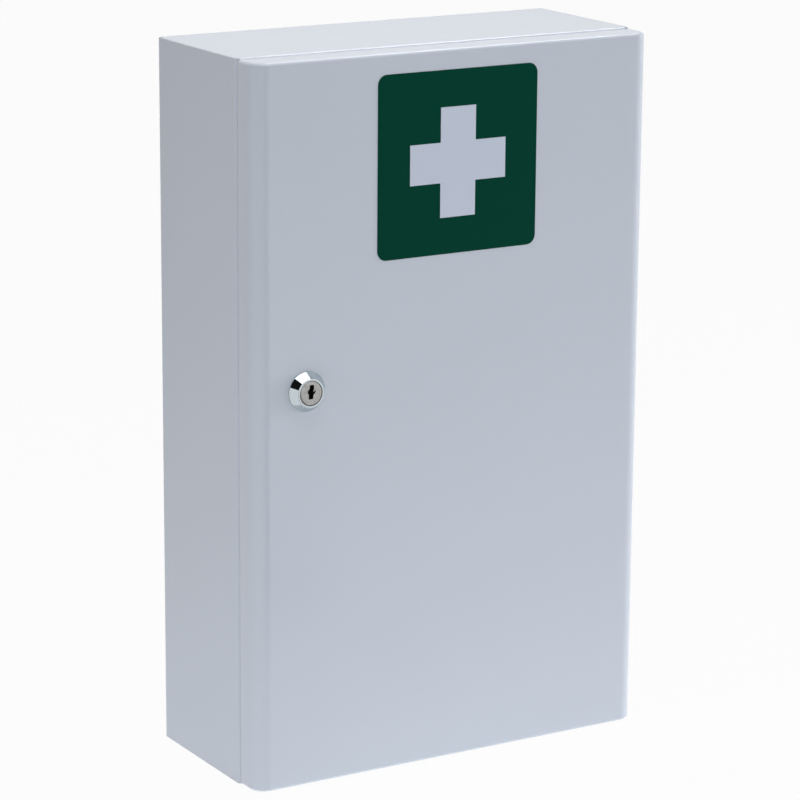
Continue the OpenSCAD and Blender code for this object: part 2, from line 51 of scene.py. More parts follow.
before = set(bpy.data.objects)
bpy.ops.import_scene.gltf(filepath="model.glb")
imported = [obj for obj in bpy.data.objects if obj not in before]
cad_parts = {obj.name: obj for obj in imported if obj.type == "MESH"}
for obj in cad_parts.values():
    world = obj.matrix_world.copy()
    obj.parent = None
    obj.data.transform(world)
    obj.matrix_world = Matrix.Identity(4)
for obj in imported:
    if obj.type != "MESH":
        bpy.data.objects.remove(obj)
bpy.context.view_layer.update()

MM = 0.001
WELD = 2e-6
CREASE = math.radians(30)
RIM_ANGLE = math.radians(50)
QUARTER = math.pi / 2
COVER_GAP = 0.06 * MM
# Grid lines stand this far beside a bend, so that it shades as an arc between flats.
MARGIN = 0.4 * MM


def frame_box(node):
    """The lowest and highest corner of a sub-part of the frame."""
    low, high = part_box(node)
    return np.array(low), np.array(high)


SHELL_LOW, SHELL_HIGH = frame_box("side_and_back_shell")
DOOR_LOW, DOOR_HIGH = frame_box("door_pan")
BEZEL_LOW, BEZEL_HIGH = frame_box("lock_housing")
SEAM_Y = SHELL_LOW[1]
LOCK_X = (BEZEL_LOW[0] + BEZEL_HIGH[0]) / 2
LOCK_Z = (BEZEL_LOW[2] + BEZEL_HIGH[2]) / 2


# ---- sizes and finishes that a user would change ----


def length(name, description, millimetres):
    """A length property whose default is written in millimetres."""
    return FloatProperty(
        name=name, description=description, default=millimetres * MM,
        unit="LENGTH", precision=5,
    )


def number(name, description, default):
    return FloatProperty(name=name, description=description, default=default)


def colour(name, description, default):
    return FloatVectorProperty(
        name=name, description=description, default=default, subtype="COLOR",
        size=3, min=0, max=1,
    )


class CabinetSizes(bpy.types.PropertyGroup):
    """Sizes that the frame's boxes don't give."""

    sheet: length("Sheet", "Thickness of the folded sheets", 1)
    rim: length("Rim", "Softened edge of a cut sheet under its coat", 0.22)
    body_bend: length("Body Bend", "Outside radius of the body's folds", 2.5)
    side_return: length("Side Return", "Width of the body's front returns at the sides", 20)
    end_return: length("End Return", "Height of the body's front returns at the ends", 15)
    fold_gap: length("Fold Gap", "Gap between the body's folds where they meet", 0.3)
    weld_flange: length("Weld Flange", "Height of the flanges of the top and bottom", 10)
    flange_relief: length("Flange Relief", "Front ends of those flanges from the seam", 6.5)
    cover_corner: length("Cover Corner", "Corner radius of the top and bottom", 3.4)
    cover_bend: length("Cover Bend", "Bend radius round the top and the bottom", 0.4)
    wall_hole: length("Wall Hole", "Diameter of the wall holes", 6.5)
    wall_hole_x: length("Wall Hole Offset", "Wall holes from the middle", 90)
    wall_hole_z: length("Wall Hole Height", "Wall holes from the ends", 40)
    door_bend: length("Door Bend", "Outside radius of the door's vertical bends", 9)
    door_fold: length("Door Fold", "Outside radius of the door's top and bottom folds", 2)
    door_hem: length("Door Hem", "Outside radius of the folds at the door's rear", 1.2)
    door_return: length("Door Return", "Width of the door's inward returns", 12)
    rail_fold: length("Rail Fold", "Outside radius of the shelf rails' folds", 1.6)
    clip_hole: length("Clip Hole", "Diameter of the clip holes in the rails", 5.2)
    clip_pitch: length("Clip Pitch", "Spacing of the clip holes", 25)
    clip_holes: IntProperty(name="Clip Holes", description="Holes in a rail", default=13)
    shelf_fold: length("Shelf Fold", "Outside radius of the shelves' folds", 1.8)
    hinge_lead: length("Hinge Lead", "Hinge axis ahead of the seam", 12)
    hinge_eye: length("Hinge Eye", "Outside radius of the hinge eyes", 2.6)
    hinge_pin: length("Hinge Pin", "Diameter of the hinge pins", 3)
    hinge_slot: length("Hinge Slot", "Height of the slots for the hinge arms", 4)
    bezel_rim: length("Bezel Rim", "Height of the bezel's upright rim", 0.9)
    bezel_face: length("Bezel Face", "Radius of the bezel's front face", 8.0)
    stem: length("Stem", "Radius of the threaded stem", 8)
    stem_flat: length("Stem Flat", "Flats of the stem from its middle", 6.8)
    thread_pitch: length("Thread Pitch", "Pitch of the stem's thread", 1)
    thread_depth: length("Thread Depth", "Depth of the stem's thread", 0.5)
    plug_face: length("Plug Face", "Radius of the plug's face", 6.55)
    sign_corner: length("Sign Corner", "Radius of the sign's corners", 5.5)
    cross_bar: length("Cross Bar", "Width of the cross's arms", 22)


class CabinetFinish(bpy.types.PropertyGroup):
    """Colours and gloss of the finishes."""

    coat: colour("Powder Coat", "Colour of the powder coat", (0.69, 0.745, 0.838))
    coat_gloss: FloatProperty(
        name="Coat Roughness", description="Mean roughness of the powder coat",
        default=0.26, min=0, max=1,
    )
    zinc: colour("Zinc", "Colour of the zinc plate", (0.62, 0.63, 0.65))
    chrome: colour("Chrome", "Colour of the chrome plate", (0.54, 0.60, 0.63))
    nickel: colour("Nickel", "Colour of the satin nickel plate", (0.46, 0.46, 0.45))
    brass: colour("Brass", "Colour of the wafers", (0.72, 0.56, 0.27))
    rubber: colour("Rubber", "Colour of the door buffers", (0.045, 0.045, 0.047))
    green: colour("Sign Green", "Colour of the sign's film", (0.0, 0.055, 0.033))
    white: colour("Sign White", "Colour of the cross", (0.725, 0.793, 0.93))


# ---- surfaces ----


def loft(rows, closed=True, kind=0):
    """A surface through rows of equally many points: quads join each point to its like in the
    next row and to its neighbour in its own row. A closed row joins its end to its start. kind
    is the number of its finish."""
    rows = [np.asarray(row, float) for row in rows]
    index = np.arange(len(rows) * len(rows[0])).reshape(len(rows), -1)
    if closed:
        index = np.hstack([index, index[:, :1]])
    quads = np.stack([index[:-1, :-1], index[1:, :-1], index[1:, 1:], index[:-1, 1:]], -1)
    return np.vstack(rows), quads.reshape(-1, 4), kind


def spread(start, end, parts):
    return np.linspace(start, end, parts + 1)


def quarter_turn(parts):
    """The sine and cosine at equal steps of a quarter turn."""
    return [(math.sin(turn), math.cos(turn)) for turn in spread(0, QUARTER, parts)]


def hole_lines(middle, half, parts=8):
    """Grid lines across a square, spaced as the tangent of equal angles, so that the square's
    edge points stand at equal angles round its middle."""
    return middle + half * np.tan(spread(-QUARTER / 2, QUARTER / 2, parts))


def blank(us, vs, holes=()):
    """A flat blank with grid lines at us and vs. Each hole is (u, v, half side, edge): inside
    that square the grid gives way to a ring of quads from the square to edge(directions), or to
    nothing where edge is None. Returns the points (u, v) and the quads."""
    us, vs = (np.unique(np.round(lines, 8)) for lines in (us, vs))
    grid = np.arange(len(us) * len(vs)).reshape(len(us), len(vs))
    uv = np.stack(np.meshgrid(us, vs, indexing="ij"), -1).reshape(-1, 2)
    kept = np.ones((len(us) - 1, len(vs) - 1), bool)
    collar_share = 0.12
    points, quads = [uv], []
    count = len(uv)
    for u, v, half, edge in holes:
        half_u, half_v = np.broadcast_to(half, 2)
        i0, i1 = (int(np.abs(us - side).argmin()) for side in (u - half_u, u + half_u))
        j0, j1 = (int(np.abs(vs - side).argmin()) for side in (v - half_v, v + half_v))
        kept[i0:i1, j0:j1] = False
        if edge is None:
            continue
        square = np.concatenate([
            grid[i0:i1, j0], grid[i1, j0:j1], grid[i1:i0:-1, j1], grid[i0, j1:j0:-1],
        ])
        away = uv[square] - (u, v)
        inner = (u, v) + edge(away / np.linalg.norm(away, axis=1, keepdims=True))
        collar = inner + (uv[square] - inner) * collar_share
        ring = count + np.arange(2 * len(square)).reshape(2, -1)
        loops = np.vstack([square, ring[0], ring[1]])
        loops = np.hstack([loops, loops[:, :1]])
        quads.append(np.stack(
            [loops[:-1, :-1], loops[:-1, 1:], loops[1:, 1:], loops[1:, :-1]], -1,
        ).reshape(-1, 4))
        points += [collar, inner]
        count += 2 * len(square)
    corners = np.stack([grid[:-1, :-1], grid[1:, :-1], grid[1:, 1:], grid[:-1, 1:]], -1)
    return np.vstack(points), np.vstack([corners[kept], *quads])


def round_hole(radius):
    return lambda directions: directions * radius


class FoldedLine:
    """The outline of a folded sheet: straight runs that arcs join. Each step is (run, turn in
    degrees, radius). A point at distance s lies on a line, or on a circle whose angle grows as
    s over the radius."""

    def __init__(self, start, heading, steps):
        self.spans = []
        self.length = 0.0
        at, angle = np.array(start, float), math.radians(heading)
        for run, turn, radius in steps:
            pieces = [(run, 0.0)]
            if turn:
                pieces.append((radius * abs(math.radians(turn)), math.copysign(1 / radius, turn)))
            for span, bend in pieces:
                self.spans.append((self.length, span, at, angle, bend))
                at, angle = self._walk(span, at, angle, bend)
                self.length += span

    @staticmethod
    def _walk(distance, at, angle, bend):
        distance = np.asarray(distance, float)
        turned = angle + distance * bend
        if bend:
            step = np.stack([np.sin(turned) - math.sin(angle),
                             math.cos(angle) - np.cos(turned)], -1) / bend
        else:
            step = distance[..., None] * np.array([math.cos(angle), math.sin(angle)])
        return at + step, turned

    def place(self, s):
        """Points at the distances s, and the unit normals to the right of the way."""
        s = np.asarray(s, float)
        points = np.zeros(s.shape + (2,))
        angles = np.zeros(s.shape)
        for begin, _, at, angle, bend in self.spans:
            here = s >= begin - WELD
            spots, turned = self._walk(np.where(here, s - begin, 0), at, angle, bend)
            points = np.where(here[..., None], spots, points)
            angles = np.where(here, turned, angles)
        return points, np.stack([np.sin(angles), -np.cos(angles)], -1)

    def lines(self, parts):
        """Grid lines at the ends of each run, across each arc, and close beside each arc."""
        found = [0.0, self.length]
        for begin, span, _, _, bend in self.spans:
            if bend:
                found += list(spread(begin, begin + span, parts))
                found += [begin - MARGIN, begin + span + MARGIN]
        return np.clip(found, 0, self.length)


def ray_lengths(angles, corners):
    """How far a ray at each angle goes to the polygon's edge: the edge that its angle falls in
    is cut by the ray, by Cramer's rule."""
    corners = np.asarray(corners, float)
    bearing = np.arctan2(corners[:, 1], corners[:, 0]) % math.tau
    order = np.argsort(bearing)
    corners, bearing = corners[order], bearing[order]
    side = np.searchsorted(bearing, angles % math.tau, side="right") - 1
    a, b = corners[side], corners[(side + 1) % len(corners)]
    along = b - a
    ray = np.stack([np.cos(angles), np.sin(angles)], -1)
    area = a[:, 0] * along[:, 1] - a[:, 1] * along[:, 0]
    turn = ray[:, 0] * along[:, 1] - ray[:, 1] * along[:, 0]
    return area / np.where(np.abs(turn) < 1e-12, 1e-12, turn)


def angles_for(*polygons, parts=96):
    """Equal angles round a turn, and those of every corner of the polygons."""
    found = [spread(0, math.tau, parts)[:-1]]
    for corners in polygons:
        corners = np.asarray(corners, float)
        found.append(np.arctan2(corners[:, 1], corners[:, 0]) % math.tau)
    found = np.unique(np.round(np.concatenate(found), 6))
    return found[np.append(np.diff(found) > 1e-4, True)]


def outline(angles, reach):
    """Points at these angles, as far from the middle as reach says."""
    return np.stack([np.cos(angles), np.sin(angles)], -1) * np.broadcast_to(
        reach, angles.shape)[:, None]


def polygon(angles, corners):
    return outline(angles, ray_lengths(angles, corners))


def rounded_corners(width, height, radius, parts=8):
    """The corners of a rectangle about the middle whose corners are arcs."""
    turn = spread(0, QUARTER, parts)
    arc = np.stack([np.cos(turn), np.sin(turn)], -1) * radius
    found = []
    for quarter in range(4):
        across, up = ((width, height), (height, width))[quarter % 2]
        spot = arc + (across / 2 - radius, up / 2 - radius)
        c, s = math.cos(quarter * QUARTER), math.sin(quarter * QUARTER)
        found.append(spot @ np.array([[c, s], [-s, c]]))
    return np.vstack(found)


def inset(points, distance):
    """Moves a closed outline inwards: each point along the mean of its two edges' normals."""
    before, after = np.roll(points, 1, 0), np.roll(points, -1, 0)
    normals = []
    for edge in (points - before, after - points):
        edge = edge / np.maximum(np.linalg.norm(edge, axis=1, keepdims=True), 1e-12)
        normals.append(np.stack([edge[:, 1], -edge[:, 0]], -1))
    mean = normals[0] + normals[1]
    mean /= np.maximum((mean * normals[0]).sum(1, keepdims=True), 0.5)
    return points - mean * distance


def level(points, height):
    """Stands a flat outline at a height, or each of its points at its own."""
    return np.column_stack([points, np.broadcast_to(height, len(points))])


def circle(angles, radius, height):
    return level(outline(angles, radius), height)


def cross_corners(reach, half):
    """The twelve corners of a cross about the middle, whose arms are twice half wide: three
    corners of one arm, and the same after each quarter turn."""
    arms = [np.array([(reach, -half), (reach, half), (half, half)])]
    for _ in range(3):
        arms.append(arms[-1][:, ::-1] * (-1, 1))
    return np.vstack(arms)


def slab(outer, low, high, edge, inner=None):
    """A plate between two heights: its rims are chamfered by edge, and it is open at the inner
    outline, or closed in its middle."""
    slim = inset(outer, edge)
    rows = [level(slim, low), level(outer, low + edge), level(outer, high - edge),
            level(slim, high)]
    if inner is None:
        middle = np.tile(outer.mean(0), (len(outer), 1))
        rows = [level(middle, low), *rows, level(middle, high)]
    else:
        wide = inset(inner, -edge)
        rows += [level(wide, high), level(inner, high - edge), level(inner, low + edge),
                 level(wide, low), rows[0]]
    return loft(rows)


def turned(profile, parts, kind=0):
    """Turns a profile of (radius, height) round the upright axis."""
    angles = spread(0, math.tau, parts)[:-1]
    return loft([circle(angles, *point) for point in profile], kind=kind)


def moved(patch, place):
    """The patch with its points sent through place."""
    points, quads, kind = patch
    return place(points), quads, kind


def shift(x, y, z):
    return lambda points: points + (x, y, z)


def upright(spot, way):
    """Stands a patch up at a spot: its y points up, and its height goes along Y, forwards where
    way is -1 and backwards where it is 1."""
    return lambda points: points[:, [0, 2, 1]] * (1, way, 1) + spot


# ---- pieces ----


def tidy(mesh, facing):
    """Welds the patches, drops loose points and turns all faces outwards. On an open sheet the
    face furthest in the direction facing has to look that way."""
    work = bmesh.new()
    work.from_mesh(mesh)
    bmesh.ops.remove_doubles(work, verts=work.verts, dist=WELD)
    bmesh.ops.dissolve_degenerate(work, edges=work.edges, dist=WELD / 2)
    bmesh.ops.delete(work, geom=[v for v in work.verts if not v.link_faces], context="VERTS")
    bmesh.ops.recalc_face_normals(work, faces=work.faces)
    if facing is not None:
        facing = Vector(facing)
        far = max(work.faces, key=lambda face: face.calc_center_median().dot(facing))
        if far.normal.dot(facing) < 0:
            bmesh.ops.reverse_faces(work, faces=work.faces)
    work.to_mesh(mesh)
    work.free()


def make_piece(name, patches, body, slot, facing=None, wall=0, rim=0):
    """Makes one object of the patches, which rides on a body, has the finishes of a slot and
    stands for the sub-part of the same name. wall gives a sheet its thickness, inwards, and rim
    softens its edges."""
    starts = np.cumsum([0] + [len(points) for points, _, _ in patches])
    mesh = bpy.data.meshes.new(name)
    mesh.from_pydata(
        np.vstack([points for points, _, _ in patches]).tolist(), [],
        np.vstack([quads + start for (_, quads, _), start in zip(patches, starts)]).tolist(),
    )
    kinds = np.concatenate([np.full(len(quads), kind) for _, quads, kind in patches])
    mesh.polygons.foreach_set("material_index", kinds.astype(np.int32))
    tidy(mesh, facing)
    for finish in finishes()[slot]:
        mesh.materials.append(finish)
    mesh.polygons.foreach_set("use_smooth", np.ones(len(mesh.polygons), bool))
    piece = bpy.data.objects.new(name + "_surface", mesh)
    bpy.context.scene.collection.objects.link(piece)
    if wall:
        solidify = piece.modifiers.new("Wall", "SOLIDIFY")
        solidify.thickness = wall
        solidify.offset = -1
        solidify.use_even_offset = True
        bevel = piece.modifiers.new("Rim", "BEVEL")
        bevel.width = rim
        bevel.segments = 2
        bevel.limit_method = "ANGLE"
        bevel.angle_limit = RIM_ANGLE
        bevel.harden_normals = True
    else:
        mesh.set_sharp_from_angle(angle=CREASE)
    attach(piece, body)
    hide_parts(name)


def make_lock_piece(name, patches, body, slot):
    """Makes a piece of patches about the lock's own axes, z ahead of the seam and y up."""
    at_lock = upright((LOCK_X, SEAM_Y, LOCK_Z), -1)
    make_piece(name, [moved(patch, at_lock) for patch in patches], body, slot)


def refinish(node, slot):
    """Gives a sub-part of the frame, whose own shape is right, its finish."""
    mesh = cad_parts[node].data
    mesh.materials.clear()
    mesh.materials.append(finishes()[slot][0])


# ---- finishes ----


FLOAT, VECTOR = "NodeSocketFloat", "NodeSocketVector"
PEEL = 1.4 * MM


def effect(name, inputs, outputs):
    """An empty node group with named inputs (socket type, default) and number outputs."""
    group = bpy.data.node_groups.new(name, "ShaderNodeTree")
    for label, (kind, default) in inputs.items():
        socket = group.interface.new_socket(name=label, in_out="INPUT", socket_type=kind)
        if default is not None:
            socket.default_value = default
    for label in outputs:
        group.interface.new_socket(name=label, in_out="OUTPUT", socket_type=FLOAT)
    return group, group.nodes.new("NodeGroupInput"), group.nodes.new("NodeGroupOutput")


def add(tree, kind, settings=None, values=None, **links):
    """A node with its settings, socket values and links. A link's key is the socket's name."""
    node = tree.nodes.new("ShaderNode" + kind)
    for key, value in (settings or {}).items():
        setattr(node, key, value)
    for key, value in (values or {}).items():
        node.inputs[key].default_value = value
    for key, source in links.items():
        tree.links.new(source, node.inputs[key])
    return node


def use(tree, group, values=None, **links):
    return add(tree, "Group", {"node_tree": group}, values, **links)


def arithmetic(tree, operation, *operands):
    """The outcome of a math node on numbers and sockets."""
    node = add(tree, "Math", {"operation": operation})
    for socket, operand in zip(node.inputs, operands):
        if isinstance(operand, bpy.types.NodeSocket):
            tree.links.new(operand, socket)
        else:
            socket.default_value = operand
    return node.outputs[0]


def noise(tree, place, scale, detail):
    node = add(tree, "TexNoise", None, {"Detail": detail}, Vector=place, Scale=scale)
    return node.outputs["Fac"]


def grain_effect():
    """Two noises on each other, the finer one at 2.7 times the frequency and a third of the
    height: the orange peel of a coat or the skin of a moulding. Patches is a broad noise for
    gloss and tone."""
    group, given, out = effect(
        "Surface Grain",
        {"Vector": (VECTOR, None), "Cell": (FLOAT, 1.5 * MM)},
        ("Height", "Patches"),
    )
    place = given.outputs["Vector"]
    scale = arithmetic(group, "DIVIDE", 1.0, given.outputs["Cell"])
    coarse = noise(group, place, scale, 1.0)
    fine = noise(group, place, arithmetic(group, "MULTIPLY", scale, 2.7), 0.0)
    broad = noise(group, place, arithmetic(group, "MULTIPLY", scale, 0.018), 3.0)
    height = arithmetic(group, "MULTIPLY_ADD", fine, 0.33, coarse)
    group.links.new(height, out.inputs["Height"])
    group.links.new(broad, out.inputs["Patches"])
    return group


def brushed_effect():
    """A noise that is stretched forty times along one direction: the lines that brushing and
    plating leave. Clouds is a broad noise for tarnish."""
    group, given, out = effect(
        "Brushed Lines",
        {"Vector": (VECTOR, None), "Stretch": (VECTOR, (1.0, 1.0, 0.025)),
         "Cell": (FLOAT, 0.25 * MM), "Cloud Cell": (FLOAT, 7.0 * MM)},
        ("Lines", "Clouds"),
    )
    place = given.outputs["Vector"]
    drawn = add(group, "VectorMath", {"operation": "MULTIPLY"})
    group.links.new(place, drawn.inputs[0])
    group.links.new(given.outputs["Stretch"], drawn.inputs[1])
    for label, spot, cell, detail in (("Lines", drawn.outputs[0], "Cell", 2.0),
                                      ("Clouds", place, "Cloud Cell", 4.0)):
        scale = arithmetic(group, "DIVIDE", 1.0, given.outputs[cell])
        group.links.new(noise(group, spot, scale, detail), out.inputs[label])
    return group


def bare(owner):
    """A material or a world with its node tree, which is emptied."""
    owner.use_nodes = True
    owner.node_tree.nodes.clear()
    return owner, owner.node_tree


def shaded(name, metallic=0.0, specular=0.5):
    """A material with its tree, its shader and its Object coordinates."""
    material, tree = bare(bpy.data.materials.new(name))
    shader = add(tree, "BsdfPrincipled", None,
                 {"Metallic": metallic, "Specular IOR Level": specular})
    add(tree, "OutputMaterial", Surface=shader.outputs[0])
    return material, tree, shader, add(tree, "TexCoord").outputs["Object"]


def vary_colour(tree, shader, mask, colour_value, change):
    """Base Color between the colour darkened and lightened by change, as the mask says."""
    mix = add(tree, "Mix", {"data_type": "RGBA"})
    for socket, factor in ((6, 1 - change), (7, 1 + change)):
        mix.inputs[socket].default_value = (*(min(1, c * factor) for c in colour_value), 1)
    tree.links.new(mask, mix.inputs[0])
    tree.links.new(mix.outputs[2], shader.inputs["Base Color"])


def vary_roughness(tree, shader, mask, low, high):
    ramp = add(tree, "MapRange", {"clamp": False}, {"To Min": low, "To Max": high}, Value=mask)
    tree.links.new(ramp.outputs[0], shader.inputs["Roughness"])


def raise_bumps(tree, shader, height, strength, distance):
    bump = add(tree, "Bump", None, {"Strength": strength, "Distance": distance}, Height=height)
    tree.links.new(bump.outputs[0], shader.inputs["Normal"])


class Finishes:
    """The finishes of the cabinet, each made once. slots holds those of each slot, in the order
    of the kinds of its patches."""

    def __init__(self, colours):
        self.grain = grain_effect()
        self.brush = brushed_effect()
        # keyway_shadow is painted shade: a near-black put where the lock's bore and keyway lie in
        # shade.
        shadow = self.coated("keyway_shadow", (0.004, 0.004, 0.004), 0.6)
        self.slots = {
            "powder_coat": [self.coated("powder_coat", colours.coat, colours.coat_gloss)],
            "lock_chrome": [self.plated("polished_chrome", colours.chrome, 0.03, 0.07, 0.02),
                            shadow],
            "lock_nickel": [self.plated("satin_nickel", colours.nickel, 0.30, 0.42, 0.45,
                                        1.3 * MM), shadow],
            "zinc_plate": [self.plated("zinc_plate", colours.zinc, 0.26, 0.42, 0.10)],
            "wafer_brass": [self.plated("stamped_brass", colours.brass, 0.25, 0.40, 0.08)],
            "buffer_rubber": [self.moulded("buffer_rubber", colours.rubber)],
            "green_film": [self.film("sign_green", colours.green)],
            "white_film": [self.film("sign_white", colours.white)],
        }

    def grained(self, name, colour_value, specular, cell, tone, gloss, bump):
        """Surface grain of a cell's size. tone is the mask of the colour and its change, gloss
        the range of the roughness, bump the strength and height of the grain."""
        material, tree, shader, place = shaded(name, specular=specular)
        grain = use(tree, self.grain, {"Cell": cell}, Vector=place)
        vary_colour(tree, shader, grain.outputs[tone[0]], colour_value, tone[1])
        vary_roughness(tree, shader, grain.outputs["Patches"], *gloss)
        raise_bumps(tree, shader, grain.outputs["Height"], *bump)
        return material

    def coated(self, name, colour_value, gloss):
        """Orange peel, with faint clouds in gloss and tone: powder coat, and the matt black that
        is painted shade in the lock's bore and keyway."""
        return self.grained(name, colour_value, 0.5, PEEL, ("Patches", 0.012),
                            (gloss - 0.02, gloss + 0.02), (0.35, 0.03 * MM))

    def moulded(self, name, colour_value):
        return self.grained(name, colour_value, 0.3, 0.35 * MM, ("Height", 0.15), (0.62, 0.8),
                            (0.4, 0.05 * MM))

    def film(self, name, colour_value):
        """Printed film: satin, with the coat's peel showing faintly through."""
        return self.grained(name, colour_value, 0.05, PEEL, ("Patches", 0.02), (0.38, 0.46),
                            (0.25, 0.02 * MM))

    def plated(self, name, colour_value, low, high, change, cell=7 * MM):
        """Plated metal: drawn lines in the gloss and clouds of a cell's size in the tone."""
        material, tree, shader, place = shaded(name, metallic=1.0)
        brush = use(tree, self.brush, {"Cloud Cell": cell}, Vector=place)
        vary_colour(tree, shader, brush.outputs["Clouds"], colour_value, change)
        vary_roughness(tree, shader, brush.outputs["Lines"], low, high)
        raise_bumps(tree, shader, brush.outputs["Lines"], 0.05, 0.02 * MM)
        return material


_made = {}


def finishes():
    """The scene's finishes by slot, made on first use."""
    if not _made:
        _made.update(Finishes(bpy.context.scene.cabinet_finish).slots)
    return _made


def sizes_of(context):
    return context.scene.cabinet_sizes


# ---- body ----


class CABINET_OT_body_shell(bpy.types.Operator):
    """Fold the sides and the back from one sheet, with the four wall holes"""

    bl_idname = "cabinet.body_shell"
    bl_label = "Side and Back Shell"

    def execute(self, context):
        sizes = sizes_of(context)
        width, depth, height = SHELL_HIGH - SHELL_LOW
        bend, lip = sizes.body_bend, sizes.side_return - sizes.body_bend
        line = FoldedLine((SHELL_HIGH[0] - sizes.side_return, SEAM_Y), 0, [
            (lip, 90, bend), (depth - 2 * bend, 90, bend), (width - 2 * bend, 90, bend),
            (depth - 2 * bend, 90, bend), (lip, 0, 0),
        ])
        cell = sizes.wall_hole
        columns = [line.length / 2 + side * sizes.wall_hole_x for side in (-1, 1)]
        rows = [sizes.wall_hole_z, height - sizes.wall_hole_z]
        us = np.concatenate([line.lines(8), *(hole_lines(u, cell) for u in columns)])
        notch = sizes.end_return + sizes.fold_gap
        vs = np.concatenate([[0, notch, height - notch, height],
                             *(hole_lines(v, cell) for v in rows)])
        holes = [(u, v, cell, round_hole(sizes.wall_hole / 2)) for u in columns for v in rows]
        holes += [(u, v, (lip / 2, notch / 2), None)
                  for u in (lip / 2, line.length - lip / 2)
                  for v in (notch / 2, height - notch / 2)]
        uv, quads = blank(us, vs, holes)
        xy, _ = line.place(uv[:, 0])
        points = np.column_stack([xy, SHELL_LOW[2] + uv[:, 1]])
        make_piece("side_and_back_shell", [(points, quads, 0)], "cabinet", "powder_coat",
                   facing=(0, 1, 0), wall=sizes.sheet, rim=sizes.rim)
        return {"FINISHED"}


def cover_outline(sizes, half, front, rear, opening, relief):
    """The right half of the cover's outline, mirrored for the left: the fold's front, the step
    behind it, a small arc, the side, where the flange starts, and a large arc at the rear."""
    small, large = front_corner(sizes), sizes.cover_corner
    turn = spread(0, QUARTER, 6)
    near = np.column_stack([half - small + small * np.sin(turn),
                            front + small * (1 - np.cos(turn))])
    far = np.column_stack([half - large + large * np.cos(turn),
                           rear - large + large * np.sin(turn)])
    right = np.vstack([[(opening, SEAM_Y), (opening, front)], near,
                       [(half, relief - 0.02 * MM), (half, relief)], far])
    return np.vstack([right, right[::-1] * (-1, 1)])


def front_corner(sizes):
    return sizes.body_bend - sizes.sheet - COVER_GAP


def end_cover(sizes):
    """The top as one closed skin of rings about its middle: over the plate, round the bend at
    its edge, down the flange or the front's fold, and back up inside it. Where nothing hangs
    down, the skin turns back under the plate. A point's way inwards leads to the nearest point
    of the outline's core, which is the outline without its corner radii."""
    sheet, top = sizes.sheet, SHELL_HIGH[2]
    half = SHELL_HIGH[0] - sheet - COVER_GAP
    front, rear = SEAM_Y + sheet + COVER_GAP, SHELL_HIGH[1] - sheet - COVER_GAP
    opening = SHELL_HIGH[0] - sizes.body_bend - sizes.fold_gap
    relief = SEAM_Y + sizes.flange_relief
    middle = np.array([0, (SEAM_Y + rear) / 2])
    corners = cover_outline(sizes, half, front, rear, opening, relief) - middle
    angles = angles_for(corners)
    edge = polygon(angles, corners) + middle
    x, y = edge.T
    folded = y < front - WELD
    flanged = y > relief - WELD
    radius = np.where(y < relief, front_corner(sizes), sizes.cover_corner)
    core = np.column_stack([np.clip(x, radius - half, half - radius),
                            np.clip(y, front + radius, rear - radius)])
    inward = core - edge
    inward /= np.linalg.norm(inward, axis=1, keepdims=True)
    bend = np.where(folded, sizes.body_bend, sizes.cover_bend)
    inner_bend = np.maximum(bend - sheet, 0.3 * MM)
    drop = np.where(folded, sizes.end_return, np.where(flanged, sizes.weld_flange, sheet))
    hangs = folded | flanged
    soft = 0.12 * MM
    plate_front = SEAM_Y + sizes.body_bend + MARGIN

    def ring(into, below):
        into = np.broadcast_to(into, len(edge))[:, None]
        return level(edge + inward * into, top - below)

    def plate_ring(into, below):
        row = ring(into, below)
        row[:, 1] = np.maximum(row[:, 1], plate_front)
        return row

    centre = np.tile((*middle, top), (len(edge), 1))
    turns = quarter_turn(8)
    rows = [centre, plate_ring(bend + MARGIN, 0)]
    rows += [ring(bend * (1 - s), bend * (1 - c)) for s, c in turns]
    rows += [ring(0, drop - soft), ring(soft, drop), ring(sheet - soft, drop),
             ring(sheet, np.maximum(sheet, drop - soft))]
    rows += [ring(sheet + inner_bend * (1 - s), sheet + hangs * inner_bend * (1 - c))
             for s, c in turns[::-1]]
    rows += [plate_ring(sheet + inner_bend + MARGIN, sheet), centre - (0, 0, sheet)]
    return [loft(rows)]


class CABINET_OT_end_covers(bpy.types.Operator):
    """Fold the top and the bottom, which are welded into the shell"""

    bl_idname = "cabinet.end_covers"
    bl_label = "Top and Bottom"

    def execute(self, context):
        sizes = sizes_of(context)
        top = end_cover(sizes)
        span = SHELL_LOW[2] + SHELL_HIGH[2]
        bottom = [moved(patch, lambda p: p * (1, 1, -1) + (0, 0, span)) for patch in top]
        for name, patches in (("top_panel", top), ("bottom_panel", bottom)):
            make_piece(name, patches, "cabinet", "powder_coat")
        return {"FINISHED"}


